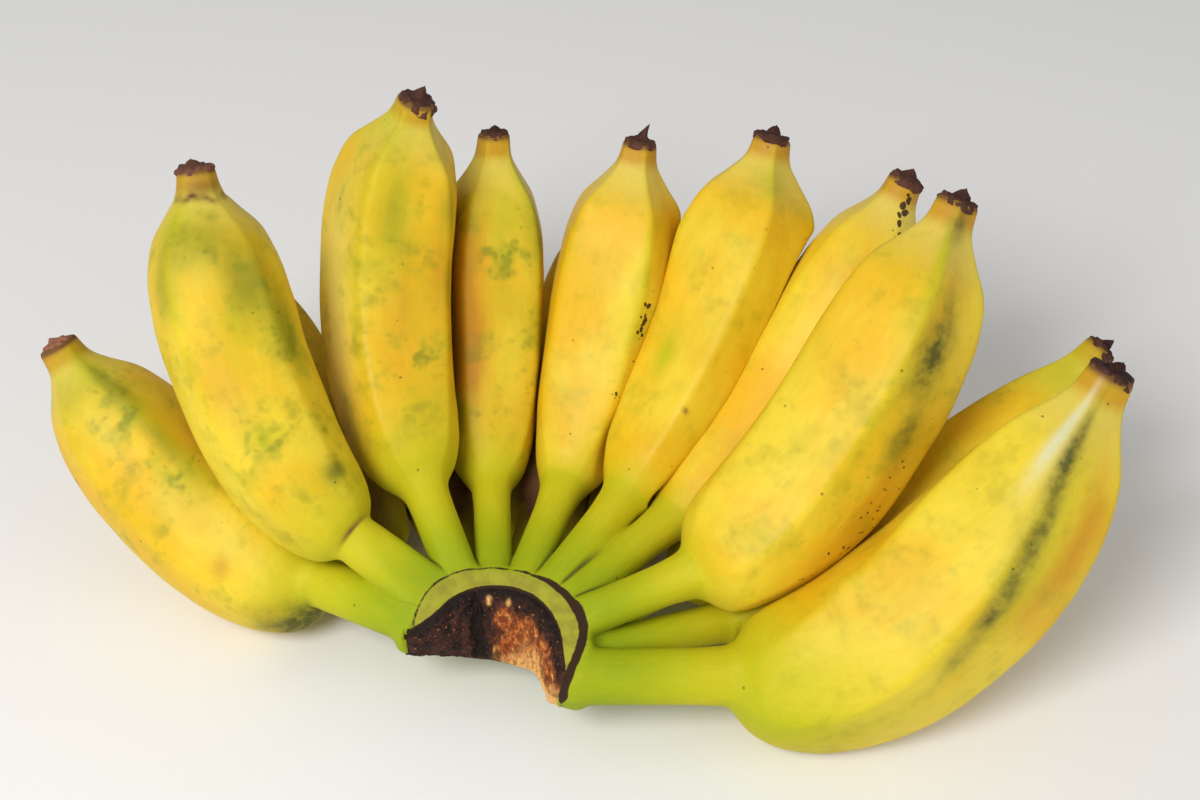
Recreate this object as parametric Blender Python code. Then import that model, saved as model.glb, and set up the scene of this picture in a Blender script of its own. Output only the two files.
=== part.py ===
"""A hand of short, plump bananas on its cut crown, as picked. Metres, +Z up.

The hand lies cupped on its underside: the crown is at the front (-Y), low down, with its cut face towards the
front, and fifteen fingers fan out behind it and curve upwards. Eight fingers form the upper row and seven the
lower row, whose bellies carry the hand. The origin is on the ground, under the middle of the hand.
"""

import math
from collections import namedtuple

import bmesh
import bpy
import numpy as np
from mathutils import Vector

# The point on the ground, just behind the crown's hollow, that the fingers' places are measured from. It
# puts the origin under the middle of the hand
HAND_PLACE = Vector((-0.0246, -0.0662, 0.0))

# The crown: a crescent pad on an arc round the stalk it was cut from, with its cut face on the inner side.
# Each section: bearing from +Y in degrees, reach of the cut's lower and upper edge and of the outer side,
# height of its underside and of its top
CROWN_CENTRE = HAND_PLACE + Vector((0.0, -0.004, 0.0))
Section = namedtuple("Section", "bearing low high outer bottom top")
CROWN_SECTIONS = (
    Section(-72, 0.0262, 0.0262, 0.0295, 0.0225, 0.0320),
    Section(-55, 0.0205, 0.0205, 0.0290, 0.0185, 0.0375),
    Section(-30, 0.0145, 0.0200, 0.0280, 0.0165, 0.0400),
    Section(0, 0.0120, 0.0205, 0.0280, 0.0160, 0.0405),
    Section(35, 0.0120, 0.0210, 0.0285, 0.0160, 0.0400),
    Section(65, 0.0150, 0.0205, 0.0290, 0.0160, 0.0385),
    Section(90, 0.0160, 0.0205, 0.0290, 0.0165, 0.0365),
    Section(112, 0.0205, 0.0225, 0.0275, 0.0185, 0.0330),
)
CROWN_STATIONS = 17

# The fingers' stalks start inside the crown, on this arc, at a level for each row
ROOT_REACH = 0.0225
UPPER = 0.0345
MIDDLE = 0.0310
LOWER = 0.0270
ROOT_FLARE = 1.25

# A finger's outline along its body, as (share of length, share of girth): how a blunt and a slender one grow
# from the stalk, and how a round and a pointed one narrow to the neck
BLUNT = ((0.0, 0.34), (0.03, 0.56), (0.08, 0.74), (0.15, 0.86), (0.25, 0.94), (0.40, 0.99), (0.60, 1.0),
         (1.0, 1.0))
SLENDER = ((0.0, 0.38), (0.06, 0.44), (0.14, 0.55), (0.21, 0.64), (0.31, 0.78), (0.41, 0.87), (0.53, 0.94),
           (0.66, 1.0), (1.0, 1.0))
ROUND = ((0.0, 1.0), (0.60, 1.0), (0.74, 0.99), (0.83, 0.91), (0.89, 0.74), (0.93, 0.50), (0.96, 0.34),
         (1.0, 0.27))
POINTED = ((0.0, 1.0), (0.45, 1.0), (0.62, 0.95), (0.73, 0.83), (0.82, 0.63), (0.90, 0.40), (0.95, 0.29),
           (1.0, 0.26))
BODY_RINGS = (0.03, 0.08, 0.15, 0.25, 0.38, 0.52, 0.66, 0.77, 0.86, 0.94, 1.0)
STALK_RINGS = (0.0, 0.45, 0.80, 1.0)
# The dried flower at the end, as (length past the neck, share of the neck's width)
CAP = ((0.0008, 1.06), (0.0028, 1.0), (0.0040, 0.66))
CAP_POINT = 0.0050

# The cross-section: five soft ridges, at so many points round it, which grow faint at both ends
RIDGES = 5
SIDES = 20
RIDGE_STRENGTH = 0.40
# The open side of the cup: ridges are counted from the side of a finger that faces this way
CUP_SIDE = Vector((0.0, -0.743, 0.669))
# Where two fingers press together each gives way, which leaves this gap between them
GAP = 0.0009
CONTACT_SAMPLES = 60
# What is pressed flat where the hand lies on its bellies
FLAT_SPOT = 0.0010

# Each finger: the bearing of its root on the crown in degrees from +Y, its row, the places where the stalk
# meets the body and where the neck ends, how far the body follows the stalk before it turns and how far it
# drops there, its radius, its stalk's radius, how slender its lower end is, how pointed its upper end is, and
# the bearing of a ridge
Finger = namedtuple("Finger", "root row shoulder tip elbow drop girth stalk slender pointed ridge")
FINGERS = (
    Finger(-38, UPPER, (-0.040, 0.030, 0.0445), (-0.0835, 0.092, 0.1295),
           0.39, 0.0, 0.0206, 0.0068, 0.25, 0.0, 30),
    Finger(-20, UPPER, (-0.021, 0.0505, 0.045), (-0.0225, 0.120, 0.1345),
           0.56, 0.0, 0.0198, 0.0062, 0.1, 0.0, 16),
    Finger(2, UPPER, (-0.002, 0.063, 0.034), (-0.001, 0.135, 0.112),
           0.36, 0.0, 0.0168, 0.0055, 0.4, 0.0, -56),
    Finger(20, UPPER, (0.020, 0.060, 0.036), (0.043, 0.129, 0.113),
           0.34, 0.0, 0.0185, 0.0055, 0.7, 0.0, -24),
    Finger(38, UPPER, (0.039, 0.0525, 0.0395), (0.083, 0.1315, 0.113),
           0.40, 0.0, 0.0205, 0.0060, 0.4, 0.0, -4),
    Finger(52, UPPER, (0.0525, 0.047, 0.0355), (0.1225, 0.116, 0.109),
           0.44, 0.0, 0.0194, 0.0058, 0.3, 0.2, -20),
    Finger(66, UPPER, (0.058, 0.0215, 0.039), (0.1325, 0.087, 0.122),
           0.32, 0.0, 0.0224, 0.0060, 0.0, 0.1, -6),
    Finger(98, LOWER, (0.069, -0.003, 0.0223), (0.1705, 0.037, 0.101),
           0.43, 0.004, 0.0256, 0.0080, 0.0, 0.45, -8),
    Finger(-54, MIDDLE, (-0.052, 0.031, 0.0250), (-0.131, 0.083, 0.072),
           0.44, 0.012, 0.0218, 0.0054, 0.0, 0.25, -34),
    Finger(-40, LOWER, (-0.036, 0.055, 0.0163), (-0.088, 0.122, 0.080),
           0.42, 0.0, 0.0178, 0.0058, 0.0, 0.2, 0),
    Finger(-14, LOWER, (-0.014, 0.062, 0.0159), (-0.033, 0.147, 0.078),
           0.42, 0.0, 0.0178, 0.0058, 0.0, 0.0, 0),
    Finger(12, LOWER, (0.011, 0.063, 0.0155), (0.036, 0.149, 0.078),
           0.42, 0.0, 0.0172, 0.0058, 0.0, 0.0, 0),
    Finger(34, LOWER, (0.034, 0.059, 0.0157), (0.081, 0.143, 0.069),
           0.42, 0.0, 0.0166, 0.0055, 0.0, 0.0, 0),
    Finger(58, LOWER, (0.055, 0.040, 0.0166), (0.138, 0.115, 0.070),
           0.42, 0.0, 0.0170, 0.0060, 0.0, 0.2, 0),
    Finger(78, LOWER, (0.069, 0.022, 0.0179), (0.181, 0.084, 0.070),
           0.35, 0.0, 0.0190, 0.0055, 0.0, 0.6, 0),
)


def eased(outline, place):
    """The value of an outline of (place, value) points at a place, eased between the points."""
    places = [at for at, value in outline]
    values = [value for at, value in outline]
    slopes = np.gradient(values, places)
    index = min(max(int(np.searchsorted(places, place)) - 1, 0), len(places) - 2)
    span = places[index + 1] - places[index]
    u = (place - places[index]) / span
    level = (1 + 2 * u) * (1 - u) ** 2 * values[index] + u * u * (3 - 2 * u) * values[index + 1]
    turn = u * (1 - u) ** 2 * slopes[index] - u * u * (1 - u) * slopes[index + 1]
    return float(level + span * turn)


def mixed(first, second, share, place):
    """The value at a place of an outline that lies between two others."""
    return (1 - share) * eased(first, place) + share * eased(second, place)


def on_crown(bearing, reach, height):
    """The point at a bearing, reach and height from the crown's centre."""
    angle = math.radians(bearing)
    return CROWN_CENTRE + Vector((reach * math.sin(angle), reach * math.cos(angle), height))


def body_width(finger, along):
    """The radius of a finger's body at a share of its length."""
    growing = mixed(BLUNT, SLENDER, finger.slender, along)
    narrowing = mixed(ROUND, POINTED, finger.pointed, along)
    return finger.girth * growing * narrowing


def bends(finger):
    """The four points that a finger's middle line follows: root, shoulder, elbow and tip."""
    root = on_crown(finger.root, ROOT_REACH, finger.row)
    shoulder = HAND_PLACE + Vector(finger.shoulder)
    tip = HAND_PLACE + Vector(finger.tip)
    reach = finger.elbow * (tip - shoulder).length
    elbow = shoulder + reach * (shoulder - root).normalized()
    elbow.z -= finger.drop
    return root, shoulder, elbow, tip


def stalk_station(finger, share):
    """Middle, heading, radius and ridge strength at a share of the stalk."""
    root, shoulder, elbow, tip = bends(finger)
    flare = 1 + (ROOT_FLARE - 1) * (1 - share) ** 2
    swell = (body_width(finger, 0.0) - finger.stalk) * share ** 6
    return root.lerp(shoulder, share), (shoulder - root).normalized(), finger.stalk * flare + swell, 0.0


def body_station(finger, share):
    """Middle, heading, radius and ridge strength at a share of the body."""
    root, shoulder, elbow, tip = bends(finger)
    middle = (1 - share) ** 2 * shoulder + 2 * share * (1 - share) * elbow + share ** 2 * tip
    heading = ((1 - share) * (elbow - shoulder) + share * (tip - elbow)).normalized()
    strength = RIDGE_STRENGTH * math.sqrt(max(0.0, math.sin(math.pi * (0.06 + 0.9 * share))))
    return middle, heading, body_width(finger, share), strength


def cap_station(finger, length, width):
    """Middle, heading, radius and ridge strength at a length along the dried flower."""
    root, shoulder, elbow, tip = bends(finger)
    heading = (tip - elbow).normalized()
    return tip + length * heading, heading, width * body_width(finger, 1.0), 0.0


def cross_section(middle, heading, radius, strength, ridge):
    """A circle pulled towards a polygon with a corner at each ridge, of the circle's mean radius."""
    inner = (CUP_SIDE - CUP_SIDE.dot(heading) * heading).normalized()
    side = heading.cross(inner)
    corner = math.cos(math.pi / RIDGES)
    points = []
    for number in range(SIDES):
        angle = 2 * math.pi * number / SIDES
        facet = angle % (2 * math.pi / RIDGES) - math.pi / RIDGES
        reach = radius * (1 + strength * (corner / math.cos(facet) - (1 + corner) / 2))
        turn = angle + math.radians(ridge)
        points.append(middle + reach * (math.cos(turn) * inner - math.sin(turn) * side))
    return points


def finger_stations(finger):
    stalk = [stalk_station(finger, share) for share in STALK_RINGS]
    body = [body_station(finger, share) for share in BODY_RINGS]
    cap = [cap_station(finger, length, width) for length, width in CAP]
    return stalk + body + cap


def contact_line(finger):
    """Points and radii along a finger's stalk and body, which its neighbours press against."""
    shares = [number / (CONTACT_SAMPLES - 1) for number in range(CONTACT_SAMPLES)]
    stations = [stalk_station(finger, share) for share in shares[CONTACT_SAMPLES // 2:]]
    stations += [body_station(finger, share) for share in shares]
    middles = np.array([middle for middle, heading, radius, strength in stations])
    radii = np.array([radius for middle, heading, radius, strength in stations])
    return middles, radii


def give_way(point, middle, neighbours):
    """Moves a point of the peel towards its finger's middle, by half of how far it would enter a neighbour."""
    depth = 0.0
    for middles, radii in neighbours:
        clear = np.min(np.linalg.norm(middles - np.array(point), axis=1) - radii)
        depth = max(depth, GAP - clear)
    inward = middle - point
    return point + min(float(depth) / 2, 0.8 * inward.length) * inward.normalized()


def tube(rings, start, end):
    """A closed mesh through a row of rings, with a point at each end."""
    mesh = bmesh.new()
    rows = [[mesh.verts.new(point) for point in points] for points in rings]
    first = mesh.verts.new(start)
    last = mesh.verts.new(end)
    for row, following in zip(rows, rows[1:]):
        for number in range(len(row)):
            after = (number + 1) % len(row)
            mesh.faces.new((row[number], row[after], following[after], following[number]))
    for number in range(len(rows[0])):
        after = (number + 1) % len(rows[0])
        mesh.faces.new((first, rows[0][after], rows[0][number]))
        mesh.faces.new((last, rows[-1][number], rows[-1][after]))
    return mesh


def finger_mesh(finger, lines):
    """One finger, pressed against its neighbours and flat on the ground."""
    neighbours = [line for other, line in lines.items() if other != finger]
    rings = []
    for number, station in enumerate(finger_stations(finger)):
        points = cross_section(*station, finger.ridge)
        if number >= len(STALK_RINGS):
            points = [give_way(point, station[0], neighbours) for point in points]
        rings.append(points)
    root, shoulder, elbow, tip = bends(finger)
    mesh = tube(rings, root, tip + CAP_POINT * (tip - elbow).normalized())
    for vertex in mesh.verts:
        if vertex.co.z < FLAT_SPOT:
            vertex.co.z = 0.0
    return mesh


def crown_section(bearing):
    """The crown's outline at a bearing, as reach and height, from the top of the cut face round to its top."""
    values = {}
    for field in Section._fields[1:]:
        values[field] = eased([(section.bearing, getattr(section, field)) for section in CROWN_SECTIONS], bearing)
    at = Section(bearing, **values)
    height = at.top - at.bottom
    lower = at.outer - at.low
    upper = at.outer - at.high
    return (
        (at.high, at.top - 0.10 * height),
        (at.low, at.bottom + 0.14 * height),
        (at.low + 0.25 * lower, at.bottom),
        (at.low + 0.70 * lower, at.bottom),
        (at.outer - 0.06 * lower, at.bottom + 0.25 * height),
        (at.outer, at.bottom + 0.55 * height),
        (at.outer - 0.05 * upper, at.bottom + 0.85 * height),
        (at.outer - 0.45 * upper, at.top),
    )


def crown_mesh():
    """The crescent crown."""
    mesh = bmesh.new()
    rows = []
    first = CROWN_SECTIONS[0].bearing
    span = CROWN_SECTIONS[-1].bearing - first
    for number in range(CROWN_STATIONS):
        bearing = first + span * number / (CROWN_STATIONS - 1)
        outline = crown_section(bearing)
        rows.append([mesh.verts.new(on_crown(bearing, reach, height)) for reach, height in outline])
    for row, following in zip(rows, rows[1:]):
        for number in range(len(row)):
            after = (number + 1) % len(row)
            mesh.faces.new((row[number], row[after], following[after], following[number]))
    mesh.faces.new(rows[0])
    mesh.faces.new(rows[-1])
    bmesh.ops.triangulate(mesh, faces=mesh.faces)
    return mesh


def add_object(name, mesh, collection):
    """A new object from a bmesh, facing out."""
    bmesh.ops.recalc_face_normals(mesh, faces=mesh.faces)
    data = bpy.data.meshes.new(name)
    mesh.to_mesh(data)
    mesh.free()
    data.shade_smooth()
    made = bpy.data.objects.new(name, data)
    collection.objects.link(made)
    return made


def peel_material():
    """Ripe yellow peel."""
    material = bpy.data.materials.new("peel")
    material.use_nodes = True
    shader = material.node_tree.nodes["Principled BSDF"]
    shader.inputs["Base Color"].default_value = (0.86, 0.58, 0.06, 1.0)
    shader.inputs["Roughness"].default_value = 0.42
    shader.inputs["Metallic"].default_value = 0.0
    return material


def fuse(target, repeats):
    """Joins a collection of closed meshes to an object in one Boolean, then removes them."""
    union = target.modifiers.new("fused", "BOOLEAN")
    union.operation = "UNION"
    union.operand_type = "COLLECTION"
    union.collection = repeats
    union.solver = "EXACT"
    bpy.context.view_layer.update()
    graph = bpy.context.evaluated_depsgraph_get()
    fused = bpy.data.meshes.new_from_object(target.evaluated_get(graph))
    target.modifiers.clear()
    target.data = fused
    for piece in list(repeats.objects):
        bpy.data.objects.remove(piece)
    bpy.data.collections.remove(repeats)


def banana_hand():
    """The crown and its fingers as one body, because the hand grew as one piece."""
    hand = add_object("banana_hand", crown_mesh(), bpy.context.scene.collection)
    fingers = bpy.data.collections.new("fingers")
    bpy.context.scene.collection.children.link(fingers)
    lines = {finger: contact_line(finger) for finger in FINGERS}
    for number, finger in enumerate(FINGERS):
        add_object(f"finger_{number + 1:02d}", finger_mesh(finger, lines), fingers)
    fuse(hand, fingers)
    hand.data.shade_smooth()
    hand.data.materials.clear()
    hand.data.materials.append(peel_material())


def clear_scene():
    for thing in list(bpy.data.objects):
        bpy.data.objects.remove(thing)


def main():
    clear_scene()
    banana_hand()


if __name__ == "__main__":
    main()
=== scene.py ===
"""The looks of a hand of short, plump ripe bananas on its cut crown. Metres, +Z up.

The script is laid out as a Blender add-on and is run as a script. Each operator makes one group of pieces round
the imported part: the crown with the stalks that leave it, its cut face, the fingers, the dried flowers at their
tips, and the stage. The fingers stand where the part's solids have them.
"""

import math
from collections import namedtuple

import bpy
import numpy as np
from bpy.props import FloatProperty, FloatVectorProperty, PointerProperty
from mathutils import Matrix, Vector, noise


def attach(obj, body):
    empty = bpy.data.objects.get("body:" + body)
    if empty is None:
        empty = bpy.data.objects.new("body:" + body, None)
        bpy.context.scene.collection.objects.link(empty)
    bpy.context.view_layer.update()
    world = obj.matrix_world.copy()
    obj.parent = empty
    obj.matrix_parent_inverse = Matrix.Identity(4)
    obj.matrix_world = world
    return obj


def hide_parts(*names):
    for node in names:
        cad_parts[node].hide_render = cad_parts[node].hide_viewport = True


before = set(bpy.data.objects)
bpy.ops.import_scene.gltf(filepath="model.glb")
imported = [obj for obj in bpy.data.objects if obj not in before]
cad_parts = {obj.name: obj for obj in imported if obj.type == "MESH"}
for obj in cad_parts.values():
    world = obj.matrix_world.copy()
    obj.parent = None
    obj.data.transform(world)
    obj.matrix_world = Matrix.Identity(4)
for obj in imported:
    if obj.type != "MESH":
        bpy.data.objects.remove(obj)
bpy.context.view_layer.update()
NODE = "banana_hand"
BODY = "root"

bl_info = {
    "name": "Banana hand",
    "version": (1, 0, 0),
    "blender": (4, 5, 0),
    "location": "3D View > Sidebar > Banana hand",
    "description": "Makes a hand of ripe bananas, piece by piece",
    "category": "Add Mesh",
}

# The point on the ground that the fingers' places are measured from, and the crown's centre
HAND_PLACE = np.array((-0.0246, -0.0662, 0.0))
CROWN_CENTRE = HAND_PLACE + np.array((0.0, -0.004, 0.0))

# The crown at a bearing from +Y in degrees: reach of the cut's lower and upper edge and of the outer side,
# height of its underside and of its top
Section = namedtuple("Section", "bearing low high outer bottom top")
CROWN_SECTIONS = (
    Section(-72, 0.0262, 0.0262, 0.0295, 0.0225, 0.0320),
    Section(-55, 0.0205, 0.0205, 0.0290, 0.0185, 0.0375),
    Section(-30, 0.0145, 0.0200, 0.0280, 0.0165, 0.0400),
    Section(0, 0.0120, 0.0205, 0.0280, 0.0160, 0.0405),
    Section(35, 0.0120, 0.0210, 0.0285, 0.0160, 0.0400),
    Section(65, 0.0150, 0.0205, 0.0290, 0.0160, 0.0385),
    Section(90, 0.0160, 0.0205, 0.0290, 0.0165, 0.0365),
    Section(112, 0.0205, 0.0225, 0.0275, 0.0185, 0.0330),
)
# How round the edges of the crown's block are, and the reach of its inner side
CROWN_ROUND = 0.0030
CROWN_INNER = 0.004
# The rim is the skin's cut edge on top: how far it falls towards the scar, the reach at which it is as high as
# the crown's top, and the reach at which it ends
RIM_FALL = 0.0022
RIM_REACH = 0.0250
RIM_END = 0.0262
# How softly stalks run together, run into the crown, and how sharp the cut's edges are
STALKS_MELT = 0.0005
CROWN_MELT = 0.0010
CUT_MELT = 0.00022
# How far the dark line at the rim's outer edge reaches at its narrow and at its wide end. It is dried brown
# skin, and painted shade where the rim's outer wall stands over the stalks
LINE_NARROW = 0.0003
LINE_WIDE = 0.0024
# How much nearer to the scar the rim's painted edge runs at the crown's ends
RIM_CLOSES = 0.0036
# How far over the rim the stalks may start, and how steeply they may rise from its edge
STALKS_START = 0.0004
STALKS_RISE = 0.60
# How wide the painted shade in the creases between stalks is by the rim, how much wider for each metre away from
# it, where it starts by reach, and over which share of the stalk it fades
CREASE_SHADE_NARROW = 0.0006
CREASE_SHADE_WIDENS = 0.10
CREASE_SHADE_START = (0.0272, 0.0300)
CREASE_SHADE_FADES = (0.30, 0.55)
# The bearings that the painted scar and the dark line keep between
SCAR_ENDS = (-70.5, 111.0)
# The crown's mesh: its step, how many steps apart its field is first worked out, how near to the surface it is
# worked out in full, the least slope that a point is moved along, and the box round the crown
CROWN_STEP = 0.00054
COARSE_STEPS = 4
NEAR_SURFACE = 0.0042
LEAST_SLOPE = 0.2
BOX_BEARINGS = range(-90, 130, 10)
BOX_REACH = 0.031
BOX_HEIGHTS = (0.012, 0.044)

# The fingers' roots in the crown: their reach, and the heights of the rows
ROOT_REACH = 0.0225
UPPER = 0.0345
MIDDLE = 0.0310
LOWER = 0.0270
# Stalks that are plumper than their solids by a factor
PLUMP_STALKS = {"upper_1": 1.12, "lower_1": 1.40}

# A finger's outline along its body, as (share of length, share of girth)
BLUNT = ((0.0, 0.34), (0.03, 0.56), (0.08, 0.74), (0.15, 0.86), (0.25, 0.94), (0.40, 0.99), (0.60, 1.0),
         (1.0, 1.0))
SLENDER = ((0.0, 0.38), (0.06, 0.44), (0.14, 0.55), (0.21, 0.64), (0.31, 0.78), (0.41, 0.87), (0.53, 0.94),
           (0.66, 1.0), (1.0, 1.0))
ROUND = ((0.0, 1.0), (0.60, 1.0), (0.74, 0.99), (0.83, 0.91), (0.89, 0.74), (0.93, 0.50), (0.96, 0.34),
         (1.0, 0.27))
POINTED = ((0.0, 1.0), (0.45, 1.0), (0.62, 0.95), (0.73, 0.83), (0.82, 0.63), (0.90, 0.40), (0.95, 0.29),
           (1.0, 0.26))

# Each finger: its name, its root's bearing and height, where stalk and body meet, where the neck ends, how far
# the body follows the stalk and drops there, radius, stalk radius, how slender its lower end is, how pointed
# its upper end is, and the bearing of a ridge
Finger = namedtuple("Finger", "name root row shoulder tip elbow drop girth stalk slender pointed ridge")
FINGERS = (
    Finger("upper_1", -38, UPPER, (-0.040, 0.030, 0.0445), (-0.0835, 0.092, 0.1295),
           0.39, 0.0, 0.0206, 0.0068, 0.25, 0.0, 30),
    Finger("upper_2", -20, UPPER, (-0.021, 0.0505, 0.045), (-0.0225, 0.120, 0.1345),
           0.56, 0.0, 0.0198, 0.0062, 0.1, 0.0, 16),
    Finger("upper_3", 2, UPPER, (-0.002, 0.063, 0.034), (-0.001, 0.135, 0.112),
           0.36, 0.0, 0.0168, 0.0055, 0.4, 0.0, -56),
    Finger("upper_4", 20, UPPER, (0.020, 0.060, 0.036), (0.043, 0.129, 0.113),
           0.34, 0.0, 0.0185, 0.0055, 0.7, 0.0, -24),
    Finger("upper_5", 38, UPPER, (0.039, 0.0525, 0.0395), (0.083, 0.1315, 0.113),
           0.40, 0.0, 0.0205, 0.0060, 0.4, 0.0, -4),
    Finger("upper_6", 52, UPPER, (0.0525, 0.047, 0.0355), (0.1225, 0.116, 0.109),
           0.44, 0.0, 0.0194, 0.0058, 0.3, 0.2, -20),
    Finger("upper_7", 66, UPPER, (0.058, 0.0215, 0.039), (0.1325, 0.087, 0.122),
           0.32, 0.0, 0.0224, 0.0060, 0.0, 0.1, -8),
    Finger("upper_8", 98, LOWER, (0.069, -0.003, 0.0223), (0.1705, 0.037, 0.101),
           0.43, 0.004, 0.0256, 0.0080, 0.0, 0.45, -14),
    Finger("lower_1", -54, MIDDLE, (-0.052, 0.031, 0.0250), (-0.131, 0.083, 0.072),
           0.44, 0.012, 0.0218, 0.0054, 0.0, 0.25, -34),
    Finger("lower_2", -40, LOWER, (-0.036, 0.055, 0.0163), (-0.088, 0.122, 0.080),
           0.42, 0.0, 0.0178, 0.0058, 0.0, 0.2, 0),
    Finger("lower_3", -14, LOWER, (-0.014, 0.062, 0.0159), (-0.033, 0.147, 0.078),
           0.42, 0.0, 0.0178, 0.0058, 0.0, 0.0, 0),
    Finger("lower_4", 12, LOWER, (0.011, 0.063, 0.0155), (0.036, 0.149, 0.078),
           0.42, 0.0, 0.0172, 0.0058, 0.0, 0.0, 0),
    Finger("lower_5", 34, LOWER, (0.034, 0.059, 0.0157), (0.081, 0.143, 0.069),
           0.42, 0.0, 0.0166, 0.0055, 0.0, 0.0, 0),
    Finger("lower_6", 58, LOWER, (0.055, 0.040, 0.0166), (0.138, 0.115, 0.070),
           0.42, 0.0, 0.0170, 0.0060, 0.0, 0.2, 0),
    Finger("lower_7", 78, LOWER, (0.069, 0.022, 0.0179), (0.181, 0.084, 0.070),
           0.35, 0.0, 0.0190, 0.0055, 0.0, 0.6, 0),
)

# A finger's rings and sides, the share of the stalk where it takes over from the crown's piece, how far the two
# overlap, and how deep the one is tucked under the other
STALK_RINGS = 26
BODY_RINGS = 120
SIDES = 120
TAKE_OVER = 0.60
OVERLAP = 0.10
TUCK = 0.00025
# How far the start of a finger's own skin may move in or out to meet the crown's skin, how many times it is
# moved, and at what share of the stalk it is free again
HOLD_IN = 0.0035
HOLD_OUT = 0.0018
HOLD_TIMES = 4
HOLD_ENDS = 0.86
# The rounded end under the flower: its rings as (rise, share of the neck's radius), and how far its point rises
END_RINGS = ((0.0006, 0.94), (0.0012, 0.70))
END_POINT = 0.0014

# Ridges: how many, how square their polygon is, how uneven and how wide they are in radians, and how strong
# along the body
RIDGES = 5
RIDGE_SQUARENESS = 34.0
RIDGE_JITTER = math.radians(7)
RIDGE_WIDTH = math.radians(8)
RIDGE_HEIGHT = ((0.0, 0.15), (0.12, 0.45), (0.30, 0.64), (0.60, 0.70), (0.82, 0.85), (0.92, 1.05), (1.0, 0.5))
# The direction in which the hand's cup is open
CUP_SIDE = np.array((0.0, -0.743, 0.669))
# The peel's broad unevenness and its dimples: the size of each, and the dimples' share of its height
WOBBLE_SIZE = 0.022
DIMPLE_SIZE = 0.006
DIMPLE_SHARE = 0.16

# Fingers that press together each give way: the gap they keep, how soft the edge of the flat is, the largest
# share of its way to the middle that a point moves, how many points are compared at a time, and with how many
# samples of a neighbour's line
GAP = 0.0008
PRESS_SOFTNESS = 0.0007
PRESS_MOST = 0.8
PRESS_BATCH = 4000
CONTACT_SAMPLES = 90
# The finger that lies over its neighbour, and how much of the room between them it gives up
LIES_OVER = {"upper_6": "upper_5"}
OVER_SHARE = 0.05
# The least height over the ground
GROUND_CLEARANCE = 0.0001

# How green a stalk is where it leaves the body, and how much greener it gets towards the crown
STALK_GREEN = 0.86
STALK_GREENER = 0.40

# Each finger's looks: how far up the body its green base reaches, green all over, green blotches, orange tint,
# how strong its ridges are, how far they turn round it along its length in degrees, and how softly body and
# stalk meet
Looks = namedtuple("Looks", "base green blotches orange ridged twist fillet")
LOOKS = {
    "upper_1": Looks(0.36, 0.12, 0.34, 0.15, 0.45, 0, 0.0013),
    "upper_2": Looks(0.36, 0.12, 0.38, 0.20, 0.95, 0, 0.0034),
    "upper_3": Looks(0.34, 0.10, 0.50, 0.35, 0.90, 0, 0.0040),
    "upper_4": Looks(0.16, 0.03, 0.18, 0.05, 1.00, -4, 0.0044),
    "upper_5": Looks(0.16, 0.02, 0.22, 0.05, 1.10, -24, 0.0040),
    "upper_6": Looks(0.14, 0.02, 0.12, 0.05, 0.60, 0, 0.0044),
    "upper_7": Looks(0.12, 0.03, 0.25, 0.10, 1.10, 8, 0.0024),
    "upper_8": Looks(0.38, 0.08, 0.20, 0.05, 1.10, 50, 0.0026),
    "lower_1": Looks(0.24, 0.08, 0.36, 0.15, 0.50, 0, 0.0020),
    "lower_2": Looks(0.30, 0.05, 0.50, 0.20, 0.90, 0, 0.0030),
    "lower_3": Looks(0.30, 0.05, 0.40, 0.45, 0.90, 0, 0.0030),
    "lower_4": Looks(0.30, 0.05, 0.40, 0.50, 0.90, 0, 0.0030),
    "lower_5": Looks(0.30, 0.05, 0.30, 0.50, 0.90, 0, 0.0030),
    "lower_6": Looks(0.30, 0.10, 0.40, 0.55, 0.90, 0, 0.0030),
    "lower_7": Looks(0.30, 0.12, 0.45, 0.20, 0.90, 0, 0.0030),
}
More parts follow.
